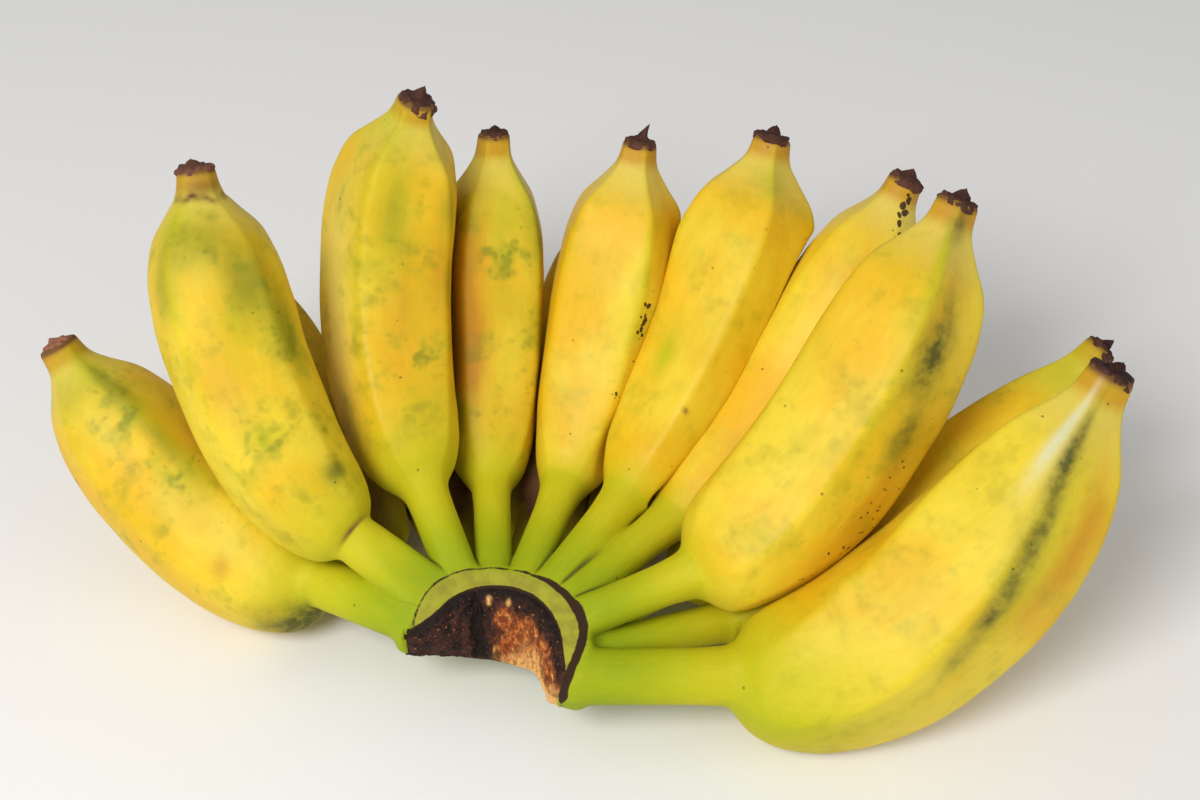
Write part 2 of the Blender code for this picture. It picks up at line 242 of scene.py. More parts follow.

# Marks on the peel, by finger and kind: at what share of its length and what bearing in degrees, half its
# length and half its width in the same measures, and how strong
# Painted shade: dark brown at the front of the back row's bases, which lie in shade between the upper row's
# stalks
SHADED_BASE = {"brown": ((0.05, 0, 0.32, 80, 1.3),)}
MARKS = {
    "upper_1": {
        "blotches": ((0.87, 10, 0.05, 42, 0.6), (0.76, -18, 0.13, 16, 0.7), (0.65, -52, 0.10, 14, 0.7),
                     (0.40, 0, 0.06, 26, 0.5)),
        "green": ((0.87, 14, 0.06, 40, 0.30), (0.41, -2, 0.030, 10, 0.75), (0.79, 34, 0.05, 14, 0.30),
                  (0.92, 40, 0.03, 30, 0.40)),
        "moss": ((0.88, 4, 0.045, 36, 0.60), (0.80, -34, 0.08, 22, 0.80), (0.80, 38, 0.06, 14, 0.55),
                 (0.65, -60, 0.09, 15, 0.95), (0.34, -56, 0.018, 5, 0.80), (0.19, -44, 0.045, 13, 0.90)),
        "orange": ((0.56, 8, 0.12, 14, 0.45),),
        "bruise": ((0.19, -46, 0.035, 10, 0.50),),
        "brown": ((0.002, -24, 0.010, 46, 1.0), (0.975, -20, 0.018, 70, 0.60)),
    },
    "upper_2": {
        "green": ((0.86, 0, 0.09, 30, 0.30), (0.72, -8, 0.12, 14, 0.40), (0.50, 22, 0.36, 5, 0.35),
                  (0.95, 60, 0.04, 40, 0.35)),
        "blotches": ((0.80, -52, 0.06, 12, 0.8), (0.35, -20, 0.07, 30, 0.5)),
        "moss": ((0.78, -8, 0.10, 14, 0.50), (0.80, -60, 0.05, 10, 0.60), (0.58, -64, 0.07, 9, 0.60)),
        # Painted light: the left facet, which faces the light, is made paler
        "pale": ((0.52, 52, 0.34, 24, 0.55),),
        "orange": ((0.50, -14, 0.24, 16, 0.45), (0.62, -52, 0.12, 12, 0.45)),
    },
    "upper_3": {
        # The left facet's orange is partly the peel's own and partly painted shadow cast by upper_2; the brown
        # is painted shadow
        "orange": ((0.56, 26, 0.26, 22, 1.5),),
        "brown": ((0.54, 44, 0.22, 18, 0.55),),
        "moss": ((0.82, -62, 0.10, 14, 0.65), (0.50, -66, 0.12, 9, 0.50), (0.24, 38, 0.08, 16, 0.60)),
        "green": ((0.30, 40, 0.07, 18, 0.60), (0.84, -60, 0.13, 18, 0.45)),
        "blotches": ((0.80, -22, 0.10, 26, 0.9),),
    },
    "upper_4": {
        "specks": ((0.64, -34, 0.10, 6, 1.1), (0.39, -25, 0.03, 5, 1.0)),
        "green": ((0.75, -24, 0.18, 6, 0.35), (0.12, -20, 0.10, 14, 0.35)),
        "orange": ((0.78, -64, 0.18, 16, 0.55),),
    },
    "upper_5": {
        "green": ((0.45, 36, 0.08, 11, 0.85), (0.93, -10, 0.04, 30, 0.35)),
        "brown": ((0.29, -8, 0.010, 3, 0.9),),
    },
    "upper_6": {
        "specks": ((0.955, -26, 0.045, 24, 1.25),),
    },
    "upper_7": {
        "bruise": ((0.78, -30, 0.085, 16, 1.0), (0.62, -42, 0.06, 11, 0.75), (0.975, -24, 0.03, 24, 0.75)),
        "green": ((0.20, 12, 0.05, 14, 0.30), (0.90, -6, 0.10, 7, 0.55), (0.55, -12, 0.20, 5, 0.30)),
        "specks": ((0.40, -58, 0.26, 12, 0.45),),
        "brown": ((0.66, 80, 0.05, 1.5, 0.9),),
        "orange": ((0.50, -55, 0.25, 16, 0.5),),
    },
    "upper_8": {
        "bruise": ((0.89, -14, 0.07, 8, 1.0), (0.76, -21, 0.09, 8, 0.8), (0.62, -26, 0.09, 9, 0.75),
                   (0.50, -30, 0.04, 7, 0.45)),
        "green": ((0.72, -34, 0.20, 14, 0.40), (0.18, -24, 0.16, 55, 0.45)),
        # Partly a waxy bloom, partly a painted highlight: a pale streak beside the groove
        "bloom": ((0.91, 4, 0.08, 8, 1.1),),
        "orange": ((0.80, -60, 0.12, 20, 0.6), (0.66, -48, 0.08, 14, 0.4)),
    },
    "lower_1": {
        "green": ((0.93, -30, 0.05, 50, 0.45),),
        "moss": ((0.89, -34, 0.06, 14, 0.80), (0.92, 20, 0.04, 26, 0.25), (0.70, -30, 0.16, 7, 0.55)),
        "blotches": ((0.86, -30, 0.07, 24, 0.9), (0.66, -24, 0.16, 15, 0.8)),
        # Painted shade: dark green at the base, where the body turns into shade
        "bruise": ((0.04, 85, 0.09, 45, 1.1),),
        "brown": ((0.76, 72, 0.010, 3, 1.0),),
        "orange": ((0.55, -60, 0.25, 20, 0.6), (0.25, 12, 0.04, 12, 0.55)),
    },
    "lower_2": {
        # Painted light: the body between its neighbours is made paler, as if lit
        "pale": ((0.62, 0, 0.30, 90, 0.60),),
        # Painted shade: dark brown at the base, which lies in shade between the stalks
        "brown": ((0.05, 0, 0.26, 80, 1.1),),
    },
    "lower_3": SHADED_BASE,
    "lower_4": SHADED_BASE,
    "lower_5": SHADED_BASE,
    "lower_6": {
        # Painted shade: dark at the base, which lies in shade between the stalks
        "bruise": ((0.06, 0, 0.20, 70, 0.50),),
    },
    "lower_7": {
        "green": ((0.93, 40, 0.06, 60, 0.50),),
    },
}
# Where a neck is creased as a share of the length, and how wide and how deep the crease is
CREASES = {"upper_1": 0.955}
CREASE_WIDTH = 0.006
CREASE_DEPTH = 0.0005

# The dried flower's profile as (share of the neck's radius, height above the neck's end)
FLOWER_PROFILE = ((0.94, -0.0012), (1.01, -0.0006), (1.05, 0.0002), (1.02, 0.0011), (0.88, 0.0017),
                  (0.72, 0.0019), (0.56, 0.0018), (0.42, 0.0022), (0.28, 0.0031), (0.15, 0.0041))
FLOWER_POINT = 0.0048
FLOWER_RINGS = 44
FLOWER_SIDES = 84
# Each flower: its size, its point's height and thickness, which way it leans, how far it droops there, and how
# worn and pale it is
Flower = namedtuple("Flower", "size height thickness lean droop pale")
FLOWERS = {
    "upper_1": Flower(1.00, 0.75, 1.5, 60, 0.0006, 0.30),
    "upper_2": Flower(1.02, 1.25, 1.0, -60, 0.0032, 0.15),
    "upper_3": Flower(0.98, 0.70, 1.6, 0, 0.0006, 0.10),
    "upper_4": Flower(1.00, 1.45, 0.7, -40, 0.0010, 0.15),
    "upper_5": Flower(1.02, 1.00, 1.2, -20, 0.0010, 0.10),
    "upper_6": Flower(1.02, 0.90, 1.3, -30, 0.0022, 0.15),
    "upper_7": Flower(1.00, 1.00, 1.3, -20, 0.0016, 0.10),
    "upper_8": Flower(0.98, 1.00, 1.2, -70, 0.0022, 0.05),
    "lower_1": Flower(0.82, 0.70, 1.3, 80, 0.0012, 0.90),
    "lower_7": Flower(0.98, 1.00, 1.2, -60, 0.0022, 0.05),
}
PLAIN_FLOWER = Flower(1.0, 0.9, 1.2, 0, 0.0010, 0.15)
# All flowers: their scale, how far the point leans, how wavy, how frayed and how crumpled the cup is
FLOWER_SCALE = 0.93
FLOWER_LEAN = 0.0014
FLOWER_WAVE = 0.06
FLOWER_FRAY = 0.0007
FLOWER_CRUMPLE = 0.00085
FLOWER_WRINKLE = 0.00035
# The waves round the cup's edge: how many and how high
FLOWER_LOBES = ((3, 0.5), (5, 0.35), (2, 0.2), (11, 0.25))

# The dried cut face: its columns and rows, how far in degrees it stops short of the crown's ends, its thickness,
# how softly it stays over the crown's own hollow, and how deep its edges sink into that
CUT_COLUMNS = 280
CUT_ROWS = 90
CUT_SHORT = 1.5
CUT_DEPTH = 0.0010
CUT_SOFTNESS = 0.0005
CUT_SINK = 0.0004
# Its reach and its height where it is laid flat for its fibres
CUT_REACH = 0.020
CUT_HEIGHT = 0.022
# How far its relief stands out: all over, its middle, its coarse, middling and fine lumps, and its fibres
CUT_RAISED = 0.0010
CUT_BULGE = 0.0008
CUT_COARSE = 0.0008
CUT_MIDDLE = 0.0006
CUT_FINE = 0.00028
CUT_FIBRES = 0.00030
# The cleft between its halves, its blunt end, and the pale chips (bearing, share down and size in degrees)
CLEFT_BEARING = -13.0
CLEFT_WIDTH = 5.0
CLEFT_DEPTH = 0.0034
NUB_BEARING = 104.0
NUB_HEIGHT = 0.0016
CHIP_HEIGHT = 0.0011
CUT_CHIPS = ((-2, 0.14, 3.2), (16, 0.16, 2.8), (4, 0.80, 2.2))

# The camera looks along +Y at a point over the hand's place on the floor. Its sensor is in millimetres
AIM = HAND_PLACE + np.array((0.0311, 0.0473, 0.0825))
SENSOR = 36.0
CLIP_START = 0.01
# The lamps, which face one point: name, place, size and colour
LAMP_AIM = (0, 0, 0.05)
LAMPS = (
    ("key", (-0.45, -0.68, 0.88), 0.55, (1.0, 0.98, 0.95)),
    ("fill", (0.9, -0.5, 0.6), 0.8, (1.0, 1.0, 1.0)),
)
FLOOR_SIZE = 3.0
FLOOR_DROP = 0.0002


# Maths on arrays of places

def eased(outline, places):
    """The values of an outline of (place, value) points at places, eased between the points."""
    at, values = np.array(outline, float).T
    slopes = np.gradient(values, at)
    index = np.clip(np.searchsorted(at, places) - 1, 0, len(at) - 2)
    span = at[index + 1] - at[index]
    u = (places - at[index]) / span
    level = (1 + 2 * u) * (1 - u) ** 2 * values[index] + u * u * (3 - 2 * u) * values[index + 1]
    turn = u * (1 - u) ** 2 * slopes[index] - u * u * (1 - u) * slopes[index + 1]
    return level + span * turn


def smooth(values, low, high):
    """0 below low, 1 above high, and a smooth step between."""
    u = np.clip((values - low) / (high - low), 0, 1)
    return u * u * (3 - 2 * u)


def unit(vectors):
    return vectors / np.linalg.norm(vectors, axis=-1, keepdims=True)


def around(count):
    """Turns in radians, evenly round a circle."""
    return np.linspace(0, 2 * math.pi, count, endpoint=False)


def rough(points, size, seed):
    """Smooth noise from about -1 to 1 at each point, with features of a size."""
    offset = Vector((17.3 * seed, 5.1 * seed, 11.7 * seed))
    values = [noise.noise(Vector(point) / size + offset) for point in points.reshape(-1, 3)]
    return np.array(values).reshape(points.shape[:-1])


def melted(distances, reach):
    """The distance to shapes that run together, where the corner between two is filled over about a reach."""
    nearest = np.min(distances, axis=0)
    return nearest - reach * np.log(np.sum(np.exp((nearest - distances) / reach), axis=0))


def cut_by(distance, cutter, softness):
    """What is left of a shape when all of it where a cutter's value is over zero is taken away."""
    return -melted(np.stack((-distance, -cutter)), softness)


# A finger's lines

def on_crown(bearing, reach, height):
    """A place by its bearing in degrees, its reach and its height about the crown's centre."""
    angle = np.radians(bearing)
    return CROWN_CENTRE + np.stack((reach * np.sin(angle), reach * np.cos(angle), height + 0 * angle), -1)


def bends(finger):
    """The four points that a finger's middle line follows: root, shoulder, elbow and tip."""
    root = on_crown(finger.root, ROOT_REACH, finger.row)
    shoulder = HAND_PLACE + np.array(finger.shoulder)
    tip = HAND_PLACE + np.array(finger.tip)
    reach = finger.elbow * np.linalg.norm(tip - shoulder)
    elbow = shoulder + reach * unit(shoulder - root) - np.array((0.0, 0.0, finger.drop))
    return root, shoulder, elbow, tip


def body_width(finger, shares):
    """Radii at shares of a body."""
    growing = (1 - finger.slender) * eased(BLUNT, shares) + finger.slender * eased(SLENDER, shares)
    narrowing = (1 - finger.pointed) * eased(ROUND, shares) + finger.pointed * eased(POINTED, shares)
    return finger.girth * growing * narrowing


def stalk_width(finger, shares):
    """Radii at shares of a stalk, which widens to the body's girth at its end."""
    plump = finger.stalk * PLUMP_STALKS.get(finger.name, 1.0)
    base = body_width(finger, np.zeros(1))[0]
    return plump + (base - plump) * shares ** 6


def stalk_line(finger, shares):
    """Middles, headings and radii at shares of a stalk."""
    root, shoulder = bends(finger)[:2]
    middles = root + shares[:, None] * (shoulder - root)
    headings = np.tile(unit(shoulder - root), (len(shares), 1))
    return middles, headings, stalk_width(finger, shares)


def body_line(finger, shares):
    """Middles, headings and radii at shares of a body."""
    shoulder, elbow, tip = bends(finger)[1:]
    share = shares[:, None]
    middles = (1 - share) ** 2 * shoulder + 2 * share * (1 - share) * elbow + share ** 2 * tip
    headings = unit((1 - share) * (elbow - shoulder) + share * (tip - elbow))
    return middles, headings, body_width(finger, shares)


def contact_line(finger):
    """Points and radii along the outer half of a stalk and a body, which neighbours press against."""
    shares = np.linspace(0, 1, CONTACT_SAMPLES)
    stalk = stalk_line(finger, shares[CONTACT_SAMPLES // 2:])
    body = body_line(finger, shares)
    return np.concatenate((stalk[0], body[0])), np.concatenate((stalk[2], body[2]))


def pressed(points, middles, neighbours):
    """Points moved towards their own middles by a neighbour's share of how far they would enter it."""
    depth = np.full(len(points), -1.0)
    for line, radii, share in neighbours:
        low = line.min(0) - radii.max() - GAP
        high = line.max(0) + radii.max() + GAP
        near = np.flatnonzero(np.all((points > low) & (points < high), axis=1))
        for part in np.array_split(near, len(near) // PRESS_BATCH + 1):
            clear = np.min(np.linalg.norm(points[part, None] - line, axis=2) - radii, axis=1)
            depth[part] = np.maximum(depth[part], 2 * share * (GAP - clear))
    step = 0.5 * (depth + np.sqrt(depth ** 2 + PRESS_SOFTNESS ** 2))
    inward = middles - points
    reach = np.linalg.norm(inward, axis=1)
    move = np.minimum(step / 2, PRESS_MOST * reach)
    return points + inward * (move / np.maximum(reach, 1e-6))[:, None]


def give_way(name, other):
    """How much of the room that two fingers both want the first gives up."""
    if LIES_OVER.get(name) == other:
        return OVER_SHARE
    if LIES_OVER.get(other) == name:
        return 1 - OVER_SHARE
    return 0.5


def sides_of(headings):
    """The two directions across a finger at each heading: towards the open side of the cup, and square to it."""
    inner = unit(CUP_SIDE - (headings @ CUP_SIDE)[:, None] * headings)
    return inner, np.cross(headings, inner)


def ridge_bearings(finger):
    """Where a finger's ridges are round it, in radians. The first is placed and the rest are a little uneven."""
    number = FINGERS.index(finger)
    steps = np.arange(RIDGES) * 2 * math.pi / RIDGES
    uneven = np.sin(12.9 * number + 7.7 * np.arange(RIDGES)) * RIDGE_JITTER
    uneven[0] = 0.0
    return math.radians(finger.ridge) + steps + uneven


def angular_reach(finger, turns):
    """The outline of a polygon with round corners at the ridges, 1 on average."""
    ridges = ridge_bearings(finger)
    following = np.append(ridges[1:], ridges[0] + 2 * math.pi)
    total = 0
    for left, right in zip(ridges, following):
        facing = np.cos(turns - (left + right) / 2) / math.cos((right - left) / 2)
        total = total + np.maximum(facing, 0) ** RIDGE_SQUARENESS
    reach = total ** (-1 / RIDGE_SQUARENESS)
    return reach / reach.mean(axis=-1, keepdims=True)


def ridge_nearness(finger, turns):
    """1 on a ridge, falling to 0 beside it."""
    nearest = np.full(turns.shape, math.pi)
    for ridge in ridge_bearings(finger):
        away = np.abs((turns - ridge + math.pi) % (2 * math.pi) - math.pi)
        nearest = np.minimum(nearest, away)
    return np.exp(-(nearest / RIDGE_WIDTH) ** 2)


# Meshes

def tube_faces(rows, columns):
    """Quads of a tube of rings, and triangles to a first and a last point that follow the rings' points."""
    start = np.arange(rows - 1)[:, None] * columns
    here = np.arange(columns)[None]
    after = (here + 1) % columns
    quads = np.stack((start + here, start + after, start + columns + after, start + columns + here), -1)
    first = rows * columns
    ends = [(first, number, (number - 1) % columns) for number in range(columns)]
    last = (rows - 1) * columns
    ends += [(first + 1, last + (number - 1) % columns, last + number) for number in range(columns)]
    return quads.reshape(-1, 4).tolist() + ends


def add_object(name, data):
    """A new object in the scene."""
    thing = bpy.data.objects.new(name, data)
    bpy.context.scene.collection.objects.link(thing)
    return thing


def add_piece(name, points, faces, material, stored):
    """A piece of the hand, with the values that its material reads kept at its vertices."""
    mesh = bpy.data.meshes.new(name)
    mesh.from_pydata(points.tolist(), [], faces)
    mesh.shade_smooth()
    for title, values in stored.items():
        kind, field = ("FLOAT_VECTOR", "vector") if values.ndim == 2 else ("FLOAT", "value")
        attribute = mesh.attributes.new(title, kind, "POINT")
        attribute.data.foreach_set(field, values.astype(np.float32).ravel())
    mesh.materials.append(material)
    piece = add_object(name, mesh)
    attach(piece, BODY)
    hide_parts(NODE)
    return piece


# The cells that meet at an edge of a grid, as steps back across it
ROUND_EDGE = ((0, 0), (1, 0), (1, 1), (0, 1))


def zero_surface(field, low, high, step):
    """Points and quads of the surface where a field is zero, by surface nets on a grid."""
    axes = [np.arange(start, stop + step, step) for start, stop in zip(low, high)]
    grid = np.stack(np.meshgrid(*axes, indexing="ij"), -1)
    shape = grid.shape[:3]
    rough_values = field(grid[::COARSE_STEPS, ::COARSE_STEPS, ::COARSE_STEPS].reshape(-1, 3))
    values = rough_values.reshape([len(axis[::COARSE_STEPS]) for axis in axes])
    for axis in range(3):
        values = np.repeat(values, COARSE_STEPS, axis)
    values = values[:shape[0], :shape[1], :shape[2]].copy()
    close = np.abs(values) < NEAR_SURFACE
    values[close] = field(grid[close])
    cells = tuple(size - 1 for size in shape)
    total = np.zeros(cells + (3,))
    count = np.zeros(cells)
    rings = []
    for axis in range(3):
        lower = np.delete(values, -1, axis)
        upper = np.delete(values, 0, axis)
        edge = np.argwhere((lower < 0) != (upper < 0))
        start = lower[tuple(edge.T)]
        place = grid[tuple(edge.T)]
        place[:, axis] += start / (start - upper[tuple(edge.T)]) * step
        ring = np.repeat(edge[None], len(ROUND_EDGE), 0)
        ring[:, :, [(axis + 1) % 3, (axis + 2) % 3]] -= np.array(ROUND_EDGE)[:, None]
        fits = np.all((ring >= 0) & (ring < cells), axis=2)
        for cell, fit in zip(ring, fits):
            np.add.at(total, tuple(cell[fit].T), place[fit])
            np.add.at(count, tuple(cell[fit].T), 1)
        whole = np.all(fits, axis=0)
        ring = ring[:, whole]
        turned = start[whole] >= 0
        ring[:, turned] = ring[::-1, turned]
        rings.append(ring)
    used = count > 0
    number = np.full(cells, -1)
    number[used] = np.arange(used.sum())
    quads = [number[tuple(np.moveaxis(ring, -1, 0))].T for ring in rings]
    return total[used] / count[used][:, None], np.concatenate(quads)


def settled(points, field, step, times):
    """Points moved onto the surface where a field is zero, along its slope."""
    for _ in range(times):
        slope = []
        for axis in range(3):
            nudge = np.zeros(3)
            nudge[axis] = step
            slope.append((field(points + nudge) - field(points - nudge)) / (2 * step))
        slope = np.stack(slope, 1)
        size = np.maximum(np.sum(slope ** 2, axis=1), LEAST_SLOPE)
        points = points - slope * (field(points) / size)[:, None]
    return points


# The crown and the stalks that leave it

def crown_place(points):
    """Bearing in degrees, reach and height of points about the crown's centre, and the crown's section there."""
    away = points - CROWN_CENTRE
    bearings = np.degrees(np.arctan2(away[:, 0], away[:, 1]))
    return bearings, np.hypot(away[:, 0], away[:, 1]), away[:, 2], section_at(bearings)


def section_at(bearings):
    """The crown's section at bearings, each value held past the crown's ends."""
    held = np.clip(bearings, CROWN_SECTIONS[0].bearing, CROWN_SECTIONS[-1].bearing)
    values = {"bearing": held}
    for field in Section._fields[1:]:
        values[field] = eased([(section.bearing, getattr(section, field)) for section in CROWN_SECTIONS], held)
    return Section(**values)


def block_distance(bearings, reach, height, at):
    """The distance to the crown's own block, a round-edged bar bent along its arc."""
    past = reach * np.sin(np.radians(np.clip(np.abs(bearings - at.bearing), 0, 90)))
    inside = np.minimum(bearings - CROWN_SECTIONS[0].bearing, CROWN_SECTIONS[-1].bearing - bearings)
    past = np.where(past > 0, past, -reach * np.sin(np.radians(np.clip(inside, 0, 90))))
    across = np.abs(reach - (at.outer + CROWN_INNER) / 2) - (at.outer - CROWN_INNER) / 2 + CROWN_ROUND
    upright = np.abs(height - (at.top + at.bottom) / 2) - (at.top - at.bottom) / 2 + CROWN_ROUND
    over = np.stack((across, upright, past + CROWN_ROUND))
    outside = np.sqrt(np.sum(np.maximum(over, 0) ** 2, axis=0))
    return outside + np.minimum(np.max(over, axis=0), 0) - CROWN_ROUND


def stub_distance(finger, points, end=TAKE_OVER + OVERLAP):
    """The distance to a stalk up to a share of its length, and the share along it."""
    root, shoulder = bends(finger)[:2]
    line = shoulder - root
    share = np.clip((points - root) @ line / (line @ line), 0, end)
    middle = root + share[:, None] * line
    width = stalk_width(finger, share) - TUCK * smooth(share, TAKE_OVER, end)
    return np.linalg.norm(points - middle, axis=1) - width, share


def over_cuts(reach, height, at):
    """How far places are over the rim's cut, and over the scar's cut towards the hollow."""
    slope = RIM_FALL / (RIM_REACH - at.high)
    over_rim = (height - at.top - slope * (reach - RIM_REACH)) / np.sqrt(1 + slope ** 2)
    fall = at.top - RIM_FALL - at.bottom
    run = at.high - at.low
    over_scar = ((at.low - reach) * fall + (height - at.bottom) * run) / np.sqrt(fall ** 2 + run ** 2)
    return over_rim, over_scar


def crown_field(points, end=TAKE_OVER + OVERLAP):
    """Below zero inside the crown and the stalks, each up to a share of its length."""
    bearings, reach, height, at = crown_place(points)
    stubs = np.stack([stub_distance(finger, points, end)[0] for finger in FINGERS])
    block = block_distance(bearings, reach, height, at)
    solid = melted(np.stack((block, melted(stubs, STALKS_MELT))), CROWN_MELT)
    over_stalks = height - at.top - STALKS_START - STALKS_RISE * np.maximum(reach - RIM_END, 0)
    over_rim, over_scar = over_cuts(reach, height, at)
    solid = cut_by(solid, over_stalks, CROWN_MELT)
    solid = cut_by(solid, np.minimum(over_rim, RIM_END - reach), CUT_MELT)
    return cut_by(solid, over_scar, CUT_MELT)


def held_to_crown(points, middles, shares):
    """Points round a stalk moved in or out to the skin of the crown and its stalks, less towards the body."""
    outward = unit(points - middles)
    move = np.zeros(len(points))
    for _ in range(HOLD_TIMES):
        move = np.clip(move - crown_field(points + move[:, None] * outward, 1.0), -HOLD_IN, HOLD_OUT)
    held = 1 - smooth(shares, TAKE_OVER + OVERLAP, HOLD_ENDS)
    under = TUCK * (1 - smooth(shares, TAKE_OVER - OVERLAP, TAKE_OVER))
    return points + (held * move - under)[:, None] * outward


def crown_bounds():
    """The box that holds the crown and its stubs."""
    places = [on_crown(bearing, BOX_REACH, height) for bearing in BOX_BEARINGS for height in BOX_HEIGHTS]
    for finger in FINGERS:
        middle, _, width = stalk_line(finger, np.array((TAKE_OVER + OVERLAP,)))
        places += [middle[0] - 1.1 * width[0], middle[0] + 1.1 * width[0]]
    places = np.array(places)
    return places.min(0) - 2 * CROWN_STEP, places.max(0) + 2 * CROWN_STEP


def stalk_places(points):
    """For points near the stalks: the straightened place on the nearest stalk, and how far along it they are."""
    distances, shares = zip(*[stub_distance(finger, points) for finger in FINGERS])
    nearest = np.argmin(distances, axis=0)
    along = np.stack(shares)[nearest, np.arange(len(points))]
    straight = np.zeros((len(points), 3))
    for number, finger in enumerate(FINGERS):
        mine = nearest == number
        root, shoulder = bends(finger)[:2]
        heading = unit(shoulder - root)
        inner, side = sides_of(heading[None])
        away = points[mine] - root
        straight[mine] = np.stack((away @ inner[0], -away @ side[0], away @ heading), 1) + finger_offset(number)
    return straight, along


def stalk_crease_shade(points):
    """1 in the creases between neighbouring stalks of the upper row, where shade is painted."""
    stubs = [stub_distance(finger, points)[0] for finger in FINGERS if finger.name.startswith("upper")]
    nearest, second = np.sort(stubs, axis=0)[:2]
    width = CREASE_SHADE_NARROW + CREASE_SHADE_WIDENS * np.maximum(crown_place(points)[1] - RIM_END, 0)
    on_stalk = 1 - smooth(nearest, 0.0006, 0.0014)
    return on_stalk * (1 - smooth((second - nearest) / width, 0.2, 1.0))


def stalk_green(share):
    """How green a stalk is at a share of the way from the body to the root."""
    return STALK_GREEN + STALK_GREENER * smooth(share, 0.10, 0.9)


def finger_offset(number):
    """Where a finger's straightened places start, so that no two fingers have the same marks."""
    return np.array((0.31 * number, 0.17 * number, 0.23 * number))


# Shader maths

class Value:
    """A shader socket in an expression. Arithmetic on it adds Math nodes."""

    def __init__(self, paint, socket):
        self.paint = paint
        self.socket = socket

    def math(self, operation, *values):
        return self.paint.node("ShaderNodeMath", {"operation": operation}, dict(enumerate(values)))

    def __add__(self, other):
        return self.math("ADD", self, other)

    __radd__ = __add__

    def __sub__(self, other):
        return self.math("SUBTRACT", self, other)

    def __rsub__(self, other):
        return self.math("SUBTRACT", other, self)

    def __mul__(self, other):
        return self.math("MULTIPLY", self, other)

    __rmul__ = __mul__

    def at_most(self, other):
        return self.math("MINIMUM", self, other)

    def step(self, low, high):
        """0 below low, 1 above high, and a smooth step between."""
        sockets = {"Value": self, "From Min": low, "From Max": high}
        return self.paint.node("ShaderNodeMapRange", {"interpolation_type": "SMOOTHSTEP"}, sockets, "Result")


class Paint:
    """A material that is built as expressions."""

    def __init__(self, name):
        self.material = bpy.data.materials.new(name)
        self.material.use_nodes = True
        self.tree = self.material.node_tree
        self.shader = self.tree.nodes["Principled BSDF"]
        self.colour = None

    def node(self, kind, settings, sockets, output=0):
        """Adds any node: its settings first, then the values or links of its sockets."""
        node = self.tree.nodes.new(kind)
        for name, value in settings.items():
            setattr(node, name, value)
        for name, value in sockets.items():
            self.feed(node.inputs[name], value)
        return Value(self, node.outputs[output])

    def feed(self, socket, value):
        """Links or sets a socket."""
        if isinstance(value, Value):
            self.tree.links.new(value.socket, socket)
        elif hasattr(value, "__len__") and len(value) == 3 and socket.type == "RGBA":
            socket.default_value = (*value, 1.0)
        else:
            socket.default_value = value

    def set(self, **sockets):
        """Sets the shader's sockets. A name's underscores stand for spaces."""
        for name, value in sockets.items():
            self.feed(self.shader.inputs[name.replace("_", " ")], value)

    def stored(self, name, output="Fac"):
        """A value that is kept at the vertices."""
        return self.node("ShaderNodeAttribute", {"attribute_name": name}, {}, output)

    def vectors(self, operation, first, second):
        """Vector Math on two vectors, or on a vector and how much it is scaled."""
        socket = "Scale" if operation == "SCALE" else 1
        return self.node("ShaderNodeVectorMath", {"operation": operation}, {0: first, socket: second})

    def stretched(self, place, factors):
        """A place scaled by its own factor along each axis."""
        return self.vectors("MULTIPLY", place, factors)

    def cloud(self, place, size, detail=2.0, roughness=0.5):
        """Noise from 0 to 1 with features of a size in metres."""
        sockets = {"Vector": place, "Scale": 1 / size, "Detail": detail, "Roughness": roughness}
        return self.node("ShaderNodeTexNoise", {}, sockets, "Fac")

    def cells(self, place, size):
        """The distance from the nearest of scattered points, as a share of their spacing."""
        return self.node("ShaderNodeTexVoronoi", {}, {"Vector": place, "Scale": 1 / size}, "Distance")

    def blend(self, mask, first, second):
        """A colour between two."""
        return self.node("ShaderNodeMix", {"data_type": "RGBA"}, {0: mask, 6: first, 7: second}, 2)

    def lay(self, mask, colour):
        """Lays a colour over the ones before it."""
        self.colour = self.blend(mask, self.colour, colour)

    def bump(self, height, distance, strength):
        """Bends the surface's normal by a height."""
        sockets = {"Height": height, "Distance": distance, "Strength": strength}
        self.set(Normal=self.node("ShaderNodeBump", {}, sockets))


# How far red, green and blue light spreads under the peel, against one another
PEEL_GLOW = (1.0, 0.6, 0.15)


